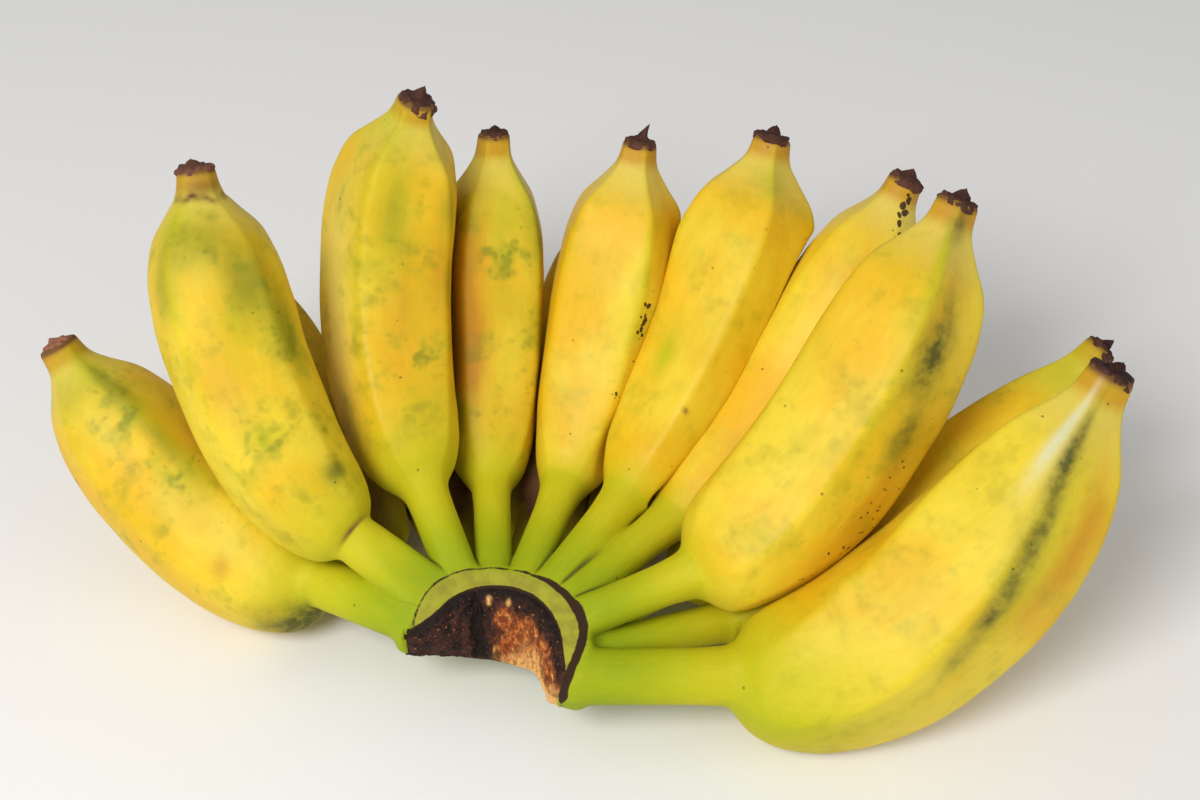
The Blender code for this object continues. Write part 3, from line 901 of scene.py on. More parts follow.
def lay_peel(paint, colours):
    """Lays the colours of peel, by the values kept at the vertices, and gives its roughness and its relief. The
    steps and shares are set one by one."""
    # Besides the peel's own colours, the cream, orange, brown, bruise and bloom layers carry painted light and
    # shade where the marks put them
    place = paint.stored("straight", "Vector")
    astray = paint.node("ShaderNodeTexNoise", {}, {"Vector": place, "Scale": 1 / 0.006, "Detail": 1.0}, "Color")
    astray = paint.vectors("ADD", place, paint.vectors("SCALE", astray, 0.0035))
    broad = paint.cloud(place, 0.045, 1.0)
    mottle = paint.cloud(paint.stretched(place, (1.0, 1.0, 0.4)), 0.010, 3.0, 0.6)
    grain = paint.cloud(paint.stretched(place, (1.0, 1.0, 0.15)), 0.0011, 2.0)
    paint.colour = paint.blend((0.6 * broad + 0.4 * mottle).step(0.38, 0.62), colours.lemon, colours.gold)
    paint.lay((paint.stored("pale") * (0.4 + 0.9 * mottle)).at_most(0.9), colours.cream)

    orange = paint.stored("orange")
    paint.lay((orange * (0.35 + 1.1 * mottle)).at_most(0.92), colours.orange)

    green = paint.stored("green")
    paint.lay(green * (0.65 + 0.7 * mottle), colours.lime)
    paint.lay((green - 0.80).step(0.0, 0.50) * (0.35 + 0.8 * mottle), colours.leaf)

    # A green haze, with small and middling spots that gather in clumps
    blotches = paint.stored("blotches")
    clumps = paint.cloud(place, 0.013, 2.0, 0.6)
    ragged = paint.cloud(place, 0.0075, 2.0, 0.55)
    small = (clumps.step(0.40, 0.66) * 0.44 - paint.cells(astray, 0.0027)).step(-0.24, 0.20)
    middling = (clumps.step(0.44, 0.68) * 0.46 - paint.cells(astray, 0.0062)).step(-0.36, 0.28)
    haze = paint.cloud(place, 0.019, 2.0).step(0.42, 0.66)
    patches = (0.6 * clumps + 0.4 * ragged).step(0.47, 0.64)
    hazy = blotches * (1 - 0.9 * orange.at_most(1.0))
    paint.lay((hazy * (0.70 * haze + 0.65 * patches)).at_most(0.85), colours.olive)
    spots = (0.45 * small + 0.55 * middling + 0.40 * patches * ragged.step(0.46, 0.68)).at_most(1.0)
    paint.lay((blotches * spots).at_most(0.62), colours.moss)
    moss = paint.stored("moss") * (0.35 + 1.2 * (0.5 * mottle + 0.5 * ragged))
    paint.lay(moss.at_most(0.72), colours.moss)

    bruise = paint.stored("bruise")
    stain = (bruise * (0.15 + 1.5 * paint.cloud(place, 0.004, 3.0, 0.65))).at_most(0.95)
    paint.lay(stain, colours.bruise)

    # Dark specks where they are placed, and a few freckles all over
    dots = (paint.stored("specks").at_most(1.0) * 0.50 - paint.cells(astray, 0.0023)).step(-0.08, 0.04)
    paint.lay(dots * 0.95, colours.speck)
    freckle = (1 - paint.cells(place, 0.0080).step(0.035, 0.075)) * paint.cloud(place, 0.02, 0.0).step(0.45, 0.6)
    paint.lay(freckle * 0.6, colours.speck)

    # Pale waxy bloom, partly a painted highlight
    paint.lay((paint.stored("bloom") * (0.3 + 1.0 * mottle)).at_most(0.85), colours.bloom)
    brown = paint.stored("brown")
    paint.lay(brown * (0.3 + 1.2 * mottle), colours.bark)
    paint.colour = paint.vectors("SCALE", paint.colour, 0.94 + 0.12 * grain)
    dry = (brown + stain * 0.4 + dots).at_most(1.0)
    roughness = 0.42 + 0.14 * mottle + 0.22 * dry + 0.20 * green.at_most(1.0)
    return roughness, 0.4 * grain + 0.6 * mottle - 0.3 * dry


def peel_material(colours):
    """Ripe peel, satin and a little waxy."""
    paint = Paint("peel")
    roughness, relief = lay_peel(paint, colours)
    paint.set(Base_Color=paint.colour, Roughness=roughness, Subsurface_Weight=0.06, Subsurface_Scale=0.003)
    paint.set(Subsurface_Radius=PEEL_GLOW, Specular_IOR_Level=0.32)
    paint.bump(relief, 0.00020, 0.6)
    return paint.material


def crown_material(peel, crown):
    """The crown's green skin, with the paler rim where it was cut, a dark edge that is dried brown and painted
    shade, and painted shade in the creases between the stalks.
    """
    paint = Paint("crown skin")
    roughness, relief = lay_peel(paint, peel)
    cloud = paint.cloud(paint.stored("place", "Vector"), 0.004, 3.0, 0.6)
    rim = paint.stored("rim")
    paint.lay(rim, paint.blend(cloud.step(0.35, 0.7), crown.rim, crown.rim_dull))
    # Painted shade: the creases between the stalks are darkened, away from the rim
    paint.lay(paint.stored("crease") * (1 - rim) * 0.80, crown.crease)
    # The dark edge: dried brown skin, and painted shade on the rim's outer wall
    crust = (paint.stored("crust") + 1.0 * cloud).step(0.35, 0.75)
    paint.lay(crust, crown.crust)
    paint.set(Base_Color=paint.colour, Roughness=roughness + 0.1 * rim + 0.2 * crust, Subsurface_Weight=0.05)
    paint.set(Subsurface_Scale=0.002, Subsurface_Radius=PEEL_GLOW, Specular_IOR_Level=0.25)
    paint.bump(relief * (1 - rim) + 0.8 * cloud * crust + 0.4 * cloud * rim, 0.0004, 0.6)
    return paint.material


def cut_material(crown):
    """The dried cut: nearly black at one end, burnt orange with pale fibres at the other."""
    paint = Paint("dried cut")
    place = paint.stored("fibre", "Vector")
    cloud = paint.cloud(place, 0.0040, 4.0, 0.65)
    fine = paint.cloud(place, 0.0011, 3.0, 0.7)
    threads = paint.cloud(paint.stretched(place, (0.34, 1.0, 1.0)), 0.0012, 3.0, 0.6)
    clumps = paint.cloud(place, 0.0026, 4.0, 0.68)
    paint.colour = paint.blend(cloud.step(0.38, 0.62), crown.scar_black, crown.scar_brown)
    paint.lay(fine.step(0.56, 0.70) * 0.8, crown.scar_rust)
    paint.lay(fine.step(0.64, 0.70) * 0.7, crown.scar_cream)
    light = paint.blend(clumps.step(0.43, 0.62), crown.scar_rust, crown.scar_orange)
    light = paint.blend((0.5 * threads + 0.5 * clumps).step(0.52, 0.64) * 0.8, light, crown.scar_cream)
    paint.lay((paint.stored("fresh") * (0.45 + 1.1 * cloud)).step(0.15, 0.95), light)
    fibres = (0.6 * threads + 0.4 * clumps).step(0.40, 0.56)
    paint.lay(paint.stored("pale") * (0.35 + 0.9 * fibres), crown.scar_cream)
    paint.lay((paint.stored("char") * (0.5 + 1.0 * cloud)).at_most(0.95), crown.scar_black)
    paint.set(Base_Color=paint.colour, Roughness=0.50 + 0.35 * cloud, Specular_IOR_Level=0.25)
    paint.bump(threads * 0.4 + 0.6 * clumps + cloud + 0.5 * fine, 0.0010, 1.0)
    return paint.material


def flower_material(flower):
    """The dried flower: maroon brown and matt, paler on its worn edges."""
    paint = Paint("dried flower")
    place = paint.stored("straight", "Vector")
    cloud = paint.cloud(place, 0.0018, 4.0, 0.65)
    wrinkles = paint.cloud(paint.stretched(place, (1.0, 1.0, 0.4)), 0.0005, 2.0)
    paint.colour = paint.blend(cloud.step(0.35, 0.65), flower.dark, flower.maroon)
    paint.lay(paint.stored("pale") * (0.5 + cloud), flower.tan)
    paint.set(Base_Color=paint.colour, Roughness=0.6 + 0.2 * cloud, Specular_IOR_Level=0.2)
    paint.bump(cloud + 0.4 * wrinkles, 0.0005, 0.7)
    return paint.material


def floor_material(colour):
    """A plain matt floor."""
    paint = Paint("pale floor")
    paint.set(Base_Color=colour, Roughness=0.9)
    return paint.material


# Sizes and colours that a user would change

def colour(name, description, default):
    """A colour that a user can change."""
    return FloatVectorProperty(name=name, description=description, subtype="COLOR", size=3, min=0, max=1,
                               default=default)


class PeelColours(bpy.types.PropertyGroup):
    """The colours of the peel."""

    lemon: colour("Lemon", "Peel where it is lightest", (0.88, 0.66, 0.035))
    gold: colour("Gold", "Peel where it is ripest", (0.86, 0.51, 0.010))
    # Also laid as painted light on lit facets
    cream: colour("Cream", "The pale peel of the necks", (0.80, 0.69, 0.22))
    orange: colour("Orange", "Peel that has turned orange", (0.56, 0.19, 0.006))
    lime: colour("Lime", "Peel that is still green", (0.54, 0.52, 0.004))
    leaf: colour("Leaf", "The greenest peel, by the crown", (0.24, 0.36, 0.004))
    olive: colour("Olive", "Green haze", (0.50, 0.47, 0.012))
    moss: colour("Moss", "Green spots", (0.20, 0.22, 0.006))
    bruise: colour("Bruise", "Dark patches", (0.075, 0.080, 0.010))
    # Partly a waxy bloom, partly a painted highlight
    bloom: colour("Bloom", "Pale waxy bloom", (0.72, 0.74, 0.48))
    speck: colour("Speck", "Small dark specks", (0.035, 0.016, 0.008))
    bark: colour("Bark", "Dry brown edges and scratches", (0.14, 0.055, 0.018))


class CrownColours(bpy.types.PropertyGroup):
    """The colours of the crown and its cut."""

    rim: colour("Rim", "The rim where the skin was cut", (0.38, 0.38, 0.030))
    rim_dull: colour("Dull rim", "The rim where it is dull", (0.30, 0.27, 0.028))
    # The crease colour is painted shade, not a colour of the skin
    crease: colour("Creases", "The creases between the stalks", (0.050, 0.060, 0.008))
    # Dried brown, also laid as the painted shade on the rim's outer wall
    crust: colour("Crust", "The dried edge of the skin", (0.040, 0.018, 0.009))
    scar_black: colour("Black scar", "The cut where it is darkest", (0.008, 0.004, 0.003))
    scar_brown: colour("Brown scar", "The cut where it dried brown", (0.065, 0.020, 0.012))
    scar_rust: colour("Rust scar", "The cut between its fibres", (0.20, 0.045, 0.010))
    scar_orange: colour("Orange scar", "The cut where it is fresher", (0.52, 0.120, 0.016))
    scar_cream: colour("Cream scar", "The pale fibres of the cut", (0.86, 0.47, 0.15))


class FlowerColours(bpy.types.PropertyGroup):
    """The colours of the dried flowers."""

    dark: colour("Dark", "The flower where it is darkest", (0.010, 0.004, 0.004))
    maroon: colour("Maroon", "The flower's own brown", (0.036, 0.011, 0.010))
    tan: colour("Tan", "Worn edges", (0.34, 0.14, 0.08))


class FingerShape(bpy.types.PropertyGroup):
    """How the fingers' surface is shaped."""

    ridge: FloatProperty(name="Ridges", description="Strength of the ridges", default=1.0, min=0, max=2,
                         subtype="FACTOR")
    wobble: FloatProperty(name="Wobble", description="Height of the broad unevenness", default=0.00045,
                          unit="LENGTH")


class StageSettings(bpy.types.PropertyGroup):
    """The camera, the lights and the floor."""

    elevation: FloatProperty(name="Elevation", description="Camera's angle over the floor",
                             default=math.radians(42), subtype="ANGLE")
    distance: FloatProperty(name="Distance", description="Camera's distance", default=0.565, unit="LENGTH")
    lens: FloatProperty(name="Lens", description="Focal length in millimetres", default=60.0)
    key: FloatProperty(name="Key light", description="Power of the large light in watts", default=9.6)
    fill: FloatProperty(name="Fill light", description="Power of the fill light in watts", default=1.5)
    sky: FloatProperty(name="Sky", description="Strength of the light from all round", default=0.39)
    floor: colour("Floor", "The floor's colour", (0.90, 0.90, 0.90))


# Operators

def filleted(radii, places, at, reach):
    """Radii along a finger, smoothed over a reach near the place where stalk and body meet."""
    weights = np.exp(-((places[:, None] - places) / reach) ** 2) * np.gradient(places)
    soft = weights @ radii / weights.sum(1)
    return radii + np.exp(-((places - at) / (3 * reach)) ** 2) * (soft - radii)


def finger_rings(finger):
    """A finger's rings: middles, headings, radii, ridge strengths, how far along they are as shares, -1 to 0 on
    the stalk and 0 to 1 on the body, and how far from the root in metres."""
    stalk = np.linspace(TAKE_OVER - OVERLAP, 1, STALK_RINGS)[:-1]
    even = np.linspace(0, 1, BODY_RINGS)
    body = 0.6 * even + 0.4 * (0.5 - 0.5 * np.cos(math.pi * even))
    lines = [stalk_line(finger, stalk), body_line(finger, body)]
    middles, headings, radii = [np.concatenate(both) for both in zip(*lines)]
    along = np.concatenate((stalk - 1, body))
    on_stalk = RIDGE_HEIGHT[0][1] * smooth(along, -0.3, 0)
    strengths = np.where(along < 0, on_stalk, eased(RIDGE_HEIGHT, np.abs(along)))
    places = np.concatenate(((0,), np.cumsum(np.linalg.norm(np.diff(middles, axis=0), axis=1))))
    radii = filleted(radii, places, places[len(stalk)], LOOKS[finger.name].fillet)
    root, shoulder = bends(finger)[:2]
    return middles, headings, radii, strengths, along, places + stalk[0] * np.linalg.norm(root - shoulder)


def marked(finger, kind, along, turns):
    """How strong the marks of a kind are on a finger."""
    total = np.zeros(along.shape)
    for share, bearing, length, width, strength in MARKS.get(finger.name, {}).get(kind, ()):
        away = (turns - math.radians(bearing) + math.pi) % (2 * math.pi) - math.pi
        spread = ((along - share) / length) ** 2 + (away / math.radians(width)) ** 2
        total = total + strength * np.exp(-spread)
    return total


def creased(finger, along, turns):
    """How deep a neck's uneven crease is, where it has one."""
    if finger.name not in CREASES:
        return 0.0
    uneven = np.sin(2 * turns + 0.7) + 0.6 * np.sin(5 * turns + 2.0) + 0.4 * np.sin(11 * turns)
    place = CREASES[finger.name] + 0.004 * uneven
    depth = 0.65 + 0.25 * np.sin(3 * turns + 1.0) + 0.2 * np.sin(8 * turns)
    return depth * np.exp(-((along - place) / CREASE_WIDTH) ** 2)


def finger_marks(finger, along, turns):
    """The values kept at a finger's vertices, which its peel is coloured by."""
    looks = LOOKS[finger.name]
    base = 1 - smooth(along, -0.06, looks.base)
    ridge = ridge_nearness(finger, turns) * smooth(along, 0.2, 0.9)
    body = looks.green + STALK_GREEN * base ** 1.5 + 0.12 * ridge
    neck = smooth(along, 0.86, 0.96)
    # The orange tint is the peel's own, laid stronger on the side away from the cup's open side as painted shade
    under = (0.5 - 0.5 * np.cos(turns)) * smooth(along, 0.05, 0.3)
    values = {
        "green": np.where(along < 0, stalk_green(-along), np.minimum(body, STALK_GREEN)) + 0.22 * neck,
        "orange": looks.orange * (0.4 + 0.6 * under) + 1.1 * smooth(along, 0.950, 0.985),
        "blotches": looks.blotches * smooth(along, 0.02, 0.15) * (1 - 0.7 * neck),
        "moss": 0,
        "bruise": 0,
        "specks": 0,
        "brown": 0.9 * smooth(along, 0.992, 1.0) + 0.9 * creased(finger, along, turns),
        "pale": 0.60 * neck,
        "bloom": 0,
    }
    return {kind: value + marked(finger, kind, along, turns) for kind, value in values.items()}


def make_finger(finger, lines, material, shape):
    """One finger, from half-way up its stalk to its neck."""
    number = FINGERS.index(finger)
    looks = LOOKS[finger.name]
    middles, headings, radii, strengths, along, places = finger_rings(finger)
    inner, side = sides_of(headings)
    turns = around(SIDES)
    ridge_turns = turns - math.radians(looks.twist) * (along[:, None] - 0.5)
    strength = shape.ridge * looks.ridged * strengths[:, None]
    outline = 1 + strength * (angular_reach(finger, ridge_turns) - 1)
    width = radii[:, None]
    straight = np.stack((width * np.cos(turns), width * np.sin(turns), places[:, None] + 0 * turns), -1)
    wobble = rough(straight, WOBBLE_SIZE, number + 1) * smooth(along, 0, 0.2)[:, None]
    dimple = rough(straight, DIMPLE_SIZE, number + 30) * smooth(along, 0, 0.1)[:, None]
    reach = width * outline + shape.wobble * (wobble + DIMPLE_SHARE * dimple)
    reach = reach - CREASE_DEPTH * creased(finger, along[:, None], turns)
    across = np.cos(turns)[:, None] * inner[:, None] - np.sin(turns)[:, None] * side[:, None]
    points = (middles[:, None] + reach[..., None] * across).reshape(-1, 3)

    own = np.repeat(middles, SIDES, 0)
    shares = np.repeat(along + 1, SIDES)
    stalk = shares < 1
    points[stalk] = held_to_crown(points[stalk], own[stalk], shares[stalk])
    neighbours = [(*line, give_way(finger.name, other)) for other, line in lines.items() if other != finger.name]
    points[~stalk] = pressed(points[~stalk], own[~stalk], neighbours)
    points[:, 2] = np.maximum(points[:, 2], GROUND_CLEARANCE)

    # The rounded end under the flower, and a point at each end of the tube
    elbow, tip = bends(finger)[2:]
    end = unit(tip - elbow)
    last = points[-SIDES:] - middles[-1]
    rings = [points] + [middles[-1] + rise * end + share * last for rise, share in END_RINGS]
    rings.append(np.stack((middles[0], middles[-1] + END_POINT * end)))
    stored = {"straight": straight.reshape(-1, 3) + finger_offset(number)}
    for kind, values in finger_marks(finger, np.repeat(along[:, None], SIDES, 1), ridge_turns).items():
        stored[kind] = values.ravel()
    extra = [-1] * (len(END_RINGS) * SIDES) + [0, -1]
    stored = {title: np.concatenate((values, values[extra])) for title, values in stored.items()}
    faces = tube_faces(len(middles) + len(END_RINGS), SIDES)
    return add_piece("finger_" + finger.name, np.concatenate(rings), faces, material, stored)


class BANANA_HAND_OT_fingers(bpy.types.Operator):
    """Makes the fingers, each pressed against its neighbours"""

    bl_idname = "banana_hand.fingers"
    bl_label = "Fingers"

    def execute(self, context):
        material = peel_material(context.scene.banana_peel)
        lines = {finger.name: contact_line(finger) for finger in FINGERS}
        for finger in FINGERS:
            make_finger(finger, lines, material, context.scene.banana_shape)
        return {"FINISHED"}


def rim_and_crust_shade(points):
    """How much of the cut rim and of the dark edge there is at points on the crown. The dark edge is dried brown
    skin and painted shade on the rim's outer wall.
    """
    bearings, reach, height, at = crown_place(points)
    over_rim, over_scar = over_cuts(reach, height, at)
    first, last = SCAR_ENDS
    ends = smooth(bearings, first, first + 1) * (1 - smooth(bearings, last - 1, last))
    scar = smooth(over_scar, -0.0006, -0.0002) * ends
    closing = RIM_CLOSES * (smooth(bearings, 72, 110) + 0.5 * smooth(-bearings, 30, 66))
    edge = reach - RIM_END + closing
    rim = smooth(over_rim, -0.0007, -0.0003) * (1 - smooth(edge, 0, 0.0003))
    wide = LINE_NARROW + (LINE_WIDE - LINE_NARROW) * smooth(bearings, 5, 75)
    wide = wide * smooth(height - at.top, -0.0105, -0.0050) * smooth(bearings, -72, -62)
    crust = np.minimum(edge + 0.0004, wide - edge)
    return rim, np.maximum(1000 * crust, 2 * scar - 1)


class BANANA_HAND_OT_crown(bpy.types.Operator):
    """Makes the crown and the inner half of each stalk as one skin"""

    bl_idname = "banana_hand.crown"
    bl_label = "Crown"

    def execute(self, context):
        points, quads = zero_surface(crown_field, *crown_bounds(), CROWN_STEP)
        points = settled(points, crown_field, CROWN_STEP / 5, 2)
        straight, share = stalk_places(points)
        rim, crust = rim_and_crust_shade(points)
        # Where the painted crease shade is laid: away from the rim, fading along each stalk
        away = smooth(crown_place(points)[1], *CREASE_SHADE_START) * (1 - smooth(share, *CREASE_SHADE_FADES))
        stored = {
            "straight": straight,
            "place": points,
            "green": stalk_green(1 - share),
            "rim": rim,
            "crust": crust,
            "crease": stalk_crease_shade(points) * away,
        }
        material = crown_material(context.scene.banana_peel, context.scene.banana_crown)
        add_piece("crown", points, quads.tolist(), material, stored)
        return {"FINISHED"}


def cut_face_points():
    """The front of the cut face as a grid from the rim down, the bearings and the shares down."""
    first, last = CROWN_SECTIONS[0].bearing, CROWN_SECTIONS[-1].bearing
    bearing = np.linspace(first + CUT_SHORT, last - CUT_SHORT, CUT_COLUMNS)
    share = np.linspace(0, 1, CUT_ROWS)
    at = section_at(bearing)
    reach = at.high[:, None] + share * (at.low - at.high)[:, None]
    edge = at.top - RIM_FALL
    height = edge[:, None] + share * (at.bottom - edge)[:, None]
    return bearing[:, None], share[None], on_crown(bearing[:, None] + 0 * share, reach, height)


def fibre_places(bearing, share, lengthwise, across):
    """Places on the cut laid flat and turned along its slanting fibres, with a scale each way."""
    along = CUT_REACH * np.radians(bearing) + 0 * share
    down = CUT_HEIGHT * share + 0 * bearing
    return np.stack(((along + down) * lengthwise, (along - down) * across, 0 * down), -1)


def cut_relief(bearing, share, flat):
    """How far the dried cut stands out, and how much of that is the cleft between its halves."""
    fibres = fibre_places(bearing, share, 0.22, 1.0)
    fresh = smooth(bearing, -12, 35)
    border = smooth(share, 0, 0.06) * (1 - smooth(share, 0.94, 1.0))
    ends = smooth(bearing, bearing[0], bearing[0] + 4) * (1 - smooth(bearing, bearing[-1] - 4, bearing[-1]))
    border = border * ends
    coarse = rough(flat, 0.0050, 3)
    middle = rough(flat, 0.0019, 4)
    fine = rough(flat, 0.0007, 5)
    thread = rough(fibres, 0.0012, 6) + 0.5 * rough(fibres, 0.0005, 7)
    astray = CLEFT_BEARING + 4.0 * rough(flat, 0.0035, 8) + 1.5 * fine
    cleft = np.exp(-((bearing - astray) / (CLEFT_WIDTH * (0.7 + 0.7 * share))) ** 2) * (0.35 + 0.65 * share)
    lumps = CUT_COARSE * coarse + CUT_MIDDLE * middle * (1 - 0.2 * fresh) + CUT_FINE * fine
    lumps = lumps + CUT_FIBRES * fresh * thread
    nub = NUB_HEIGHT * np.exp(-((bearing - NUB_BEARING) / 7) ** 2 - ((share - 0.84) / 0.16) ** 2)
    relief = CUT_RAISED + CUT_BULGE * np.sin(math.pi * share) + lumps - CLEFT_DEPTH * cleft
    relief = relief + CHIP_HEIGHT * chips_at(bearing, share) + nub
    relief = 0.5 * (relief + np.sqrt(relief ** 2 + CUT_SOFTNESS ** 2))
    return border * (relief + CUT_SINK) - CUT_SINK, cleft


def cut_marks(bearing, share, flat, cleft):
    """The values kept at the cut's vertices, which it is coloured by."""
    uneven = rough(flat, 0.006, 9)
    chips = chips_at(bearing, share)
    fresh = smooth(bearing + 14 * uneven, -10, 16) * smooth(share + 0.15 * uneven, 0.10, 0.50)
    low = share + 0.12 * uneven - 0.35 * smooth(bearing, 20, 90)
    pale = 0.9 * smooth(low, 0.25, 0.75) * smooth(bearing, 24, 60)
    pale = pale + 0.9 * smooth(share + 0.10 * uneven, 0.74, 1.0) * smooth(bearing, -2, 24)
    # The cut is made nearly black in its cleft and along its top edge
    top_edge = (1 - smooth(share, 0.0, 0.20)) * (1 - smooth(bearing, 70, 100))
    return {
        "fibre": fibre_places(bearing, share, 0.7, 0.7),
        "fresh": fresh * (1 - 0.8 * cleft),
        "pale": pale + smooth(bearing, 92, 106) * smooth(share, 0.3, 0.8) + chips,
        "char": np.maximum(1.6 * cleft, top_edge - chips),
    }


def chips_at(bearing, share):
    """1 on the pale chips that cling to the cut."""
    total = 0
    for at, down, reach in CUT_CHIPS:
        total = total + np.exp(-(((bearing - at) / reach) ** 2 + ((share - down) / (0.020 * reach)) ** 2) ** 2)
    return np.clip(total, 0, 1)


def slab(front, back):
    """Points and faces of a closed slab between two grids."""
    rows, columns = front.shape[:2]
    count = rows * columns
    index = np.arange(count).reshape(rows, columns)
    quads = np.stack((index[:-1, :-1], index[1:, :-1], index[1:, 1:], index[:-1, 1:]), -1).reshape(-1, 4)
    rim = np.concatenate((index[:-1, 0], index[-1, :-1], index[:0:-1, -1], index[0, :0:-1]))
    after = np.roll(rim, -1)
    wall = np.stack((rim, rim + count, after + count, after), -1)
    faces = np.concatenate((quads, quads[:, ::-1] + count, wall))
    return np.concatenate((front.reshape(-1, 3), back.reshape(-1, 3))), faces.tolist()


def face_out(piece):
    """Turns a closed piece's faces to face out."""
    mesh = piece.data
    points = np.array([vertex.co for vertex in mesh.vertices])
    mesh.calc_loop_triangles()
    corners = points[np.array([triangle.vertices for triangle in mesh.loop_triangles])]
    volume = np.einsum("ij,ij->i", corners[:, 0], np.cross(corners[:, 1], corners[:, 2])).sum()
    if volume < 0:
        mesh.flip_normals()


class BANANA_HAND_OT_cut_face(bpy.types.Operator):
    """Makes the dried cut face in the crown's hollow"""

    bl_idname = "banana_hand.cut_face"
    bl_label = "Cut face"

    def execute(self, context):
        bearing, share, flat = cut_face_points()
        facing = unit(np.cross(np.gradient(flat, axis=1), np.gradient(flat, axis=0)) + 1e-12)
        towards = CROWN_CENTRE + np.array((0.0, 0.0, 0.05)) - flat
        facing = facing * np.sign(np.sum(facing * towards, axis=-1, keepdims=True))
        relief, cleft = cut_relief(bearing, share, flat)
        points, faces = slab(flat + facing * relief[..., None], flat - facing * CUT_DEPTH)
        stored = {}
        for title, value in cut_marks(bearing, share, flat, cleft).items():
            value = value.reshape(flat.shape[0] * flat.shape[1], -1).squeeze()
            stored[title] = np.concatenate((value, value))
        face_out(add_piece("cut_face", points, faces, cut_material(context.scene.banana_crown), stored))
        return {"FINISHED"}


def make_flower(number, finger, material):
    """A crumpled cup with a worn edge and an off-centre point."""
    random = np.random.default_rng(40 + number)
    elbow, tip = bends(finger)[2:]
    heading = unit(tip - elbow)
    inner, side = sides_of(heading[None])
    neck = body_width(finger, np.ones(1))[0]
    flower = FLOWERS.get(finger.name, PLAIN_FLOWER)
    profile = np.array(FLOWER_PROFILE + ((0.0, FLOWER_POINT),))
    along = np.linspace(0, len(profile) - 1, FLOWER_RINGS)[:-1]
    share, rise = [np.interp(along, np.arange(len(profile)), values) for values in profile.T]
    spike = smooth(along, 6.0, 8.0)
    share = FLOWER_SCALE * flower.size * share * (1 + spike * (flower.thickness - 1))
    rise = rise * (1 + spike * (flower.height - 1))
    turns = around(FLOWER_SIDES)
    angle = math.radians(flower.lean)
    lean = FLOWER_LEAN * np.array((math.cos(angle), math.sin(angle))) + random.uniform(-0.0003, 0.0003, 2)
    phases = random.uniform(0, 2 * math.pi, len(FLOWER_LOBES))
    wave = sum(height * np.sin(lobes * turns + phase) for (lobes, height), phase in zip(FLOWER_LOBES, phases))
    edge = np.exp(-((along - 2.5) / 1.8) ** 2)[:, None]
    droop = flower.droop * np.clip(np.cos(turns - angle), 0, 1) ** 1.5
    reach = neck * share[:, None] * (1 + FLOWER_WAVE * edge * wave) + 0.35 * droop * edge
    lift = rise[:, None] + FLOWER_FRAY * edge * np.roll(wave, 7) - edge * droop
    up = np.clip(rise / FLOWER_POINT, 0, 1.4)[:, None] ** 1.5
    x = reach * np.cos(turns) + lean[0] * up
    y = reach * np.sin(turns) + lean[1] * up
    cup = np.stack((x, y, lift), -1).reshape(-1, 3)
    crumple = FLOWER_CRUMPLE * rough(cup, 0.0022, number + 20) + FLOWER_WRINKLE * rough(cup, 0.0008, number + 50)
    away = unit(cup * (1, 1, 0) + np.array((0.0, 0.0, 0.5 * neck)))
    soft = np.repeat(smooth(along, 0.0, 1.5) * (1 - 0.6 * spike), FLOWER_SIDES)
    cup = cup + away * (crumple * soft)[:, None]
    top = np.append(cup[-FLOWER_SIDES:, :2].mean(0), cup[-1, 2] + 0.0004)
    bottom = np.array((0.0, 0.0, FLOWER_PROFILE[0][1]))
    local = np.concatenate((cup, bottom[None], top[None]))
    points = tip + local[:, :1] * inner - local[:, 1:2] * side + local[:, 2:] * heading
    pale = np.repeat(0.12 * edge[:, 0], FLOWER_SIDES) + flower.pale
    stored = {"straight": local + finger_offset(number), "pale": np.concatenate((pale, pale[[0, -1]]))}
    faces = tube_faces(len(along), FLOWER_SIDES)
    face_out(add_piece("flower_" + finger.name, points, faces, material, stored))


class BANANA_HAND_OT_flowers(bpy.types.Operator):
    """Makes the dried flower at each finger's tip"""

    bl_idname = "banana_hand.flowers"
    bl_label = "Dried flowers"

    def execute(self, context):
        material = flower_material(context.scene.banana_flower)
        for number, finger in enumerate(FINGERS):
            make_flower(number, finger, material)
        return {"FINISHED"}


def add_aimed(name, data, place, direction):
    """A lamp or camera that faces a direction."""
    thing = add_object(name, data)
    thing.location = place
    thing.rotation_euler = direction.to_track_quat("-Z", "Y").to_euler()
    return thing


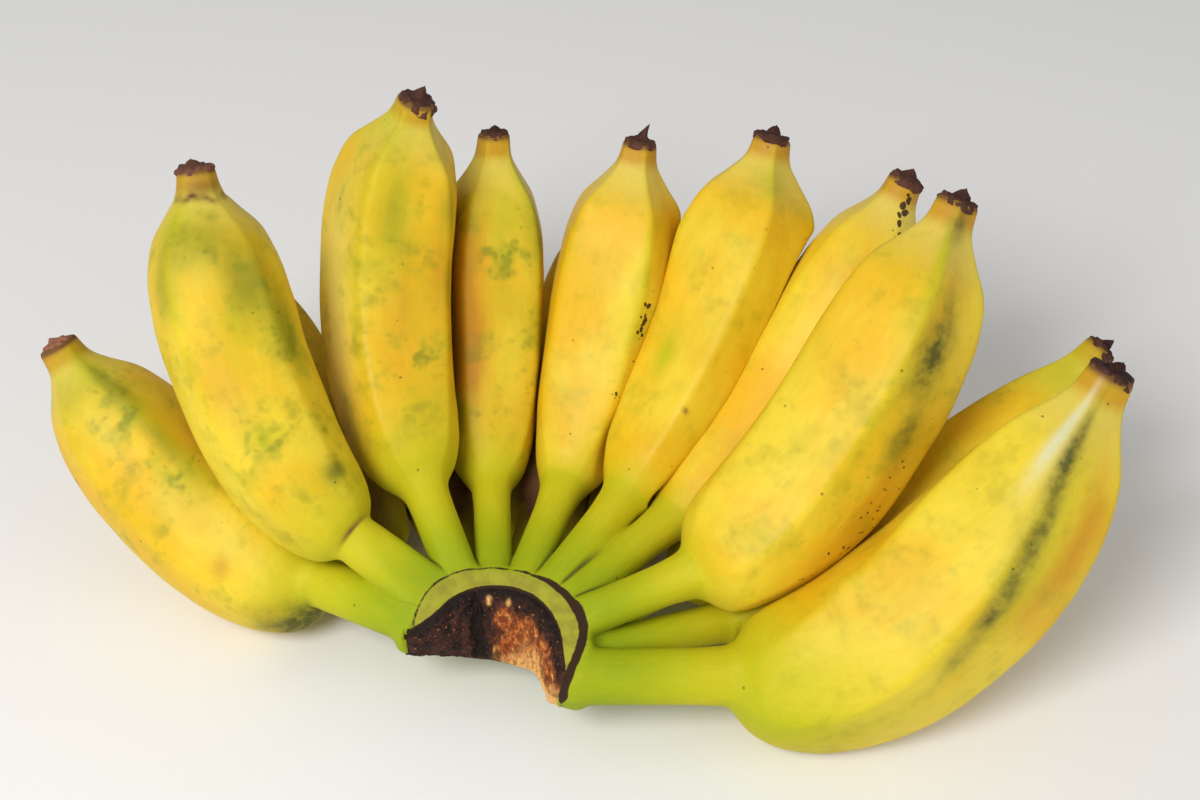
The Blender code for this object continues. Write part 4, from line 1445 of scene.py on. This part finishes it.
class BANANA_HAND_OT_stage(bpy.types.Operator):
    """Makes the floor, the lights and the camera"""

    bl_idname = "banana_hand.stage"
    bl_label = "Stage"

    def execute(self, context):
        scene = context.scene
        settings = scene.banana_stage
        half = FLOOR_SIZE / 2
        corners = [(x, y, -FLOOR_DROP) for x, y in ((-half, -half), (half, -half), (half, half), (-half, half))]
        mesh = bpy.data.meshes.new("floor")
        mesh.from_pydata(corners, [], [(0, 1, 2, 3)])
        mesh.materials.append(floor_material(settings.floor))
        add_object("floor", mesh)

        world = bpy.data.worlds.new("studio")
        world.use_nodes = True
        sky = world.node_tree.nodes["Background"].inputs
        sky["Color"].default_value = (1, 1, 1, 1)
        sky["Strength"].default_value = settings.sky
        scene.world = world
        scene.view_settings.view_transform = "Standard"
        for name, place, size, colour in LAMPS:
            lamp = bpy.data.lights.new(name, "AREA")
            lamp.shape = "DISK"
            lamp.size = size
            lamp.energy = getattr(settings, name)
            lamp.color = colour
            add_aimed(name, lamp, place, Vector(LAMP_AIM) - Vector(place))

        lens = bpy.data.cameras.new("camera")
        lens.lens = settings.lens
        lens.sensor_width = SENSOR
        lens.clip_start = CLIP_START
        back = Vector((0.0, -math.cos(settings.elevation), math.sin(settings.elevation)))
        scene.camera = add_aimed("camera", lens, Vector(AIM) + settings.distance * back, -back)
        return {"FINISHED"}


OPERATORS = (
    BANANA_HAND_OT_crown,
    BANANA_HAND_OT_cut_face,
    BANANA_HAND_OT_fingers,
    BANANA_HAND_OT_flowers,
    BANANA_HAND_OT_stage,
)
GROUPS = {
    "banana_peel": PeelColours,
    "banana_crown": CrownColours,
    "banana_flower": FlowerColours,
    "banana_shape": FingerShape,
    "banana_stage": StageSettings,
}


class VIEW3D_PT_banana_hand(bpy.types.Panel):
    """Lists the pieces in the 3D view's sidebar"""

    bl_label = "Banana hand"
    bl_space_type = "VIEW_3D"
    bl_region_type = "UI"
    bl_category = "Banana hand"

    def draw(self, context):
        for operator in OPERATORS:
            self.layout.operator(operator.bl_idname)
        for name, group in GROUPS.items():
            box = self.layout.box()
            for title in group.__annotations__:
                box.prop(getattr(context.scene, name), title)


def register():
    for kind in (*GROUPS.values(), *OPERATORS, VIEW3D_PT_banana_hand):
        bpy.utils.register_class(kind)
    for name, group in GROUPS.items():
        setattr(bpy.types.Scene, name, PointerProperty(type=group))


def unregister():
    for name in GROUPS:
        delattr(bpy.types.Scene, name)
    for kind in (VIEW3D_PT_banana_hand, *reversed(OPERATORS), *reversed(list(GROUPS.values()))):
        bpy.utils.unregister_class(kind)


def main():
    register()
    bpy.ops.banana_hand.crown()
    bpy.ops.banana_hand.cut_face()
    bpy.ops.banana_hand.fingers()
    bpy.ops.banana_hand.flowers()
    bpy.ops.banana_hand.stage()


if __name__ == "__main__":
    main()
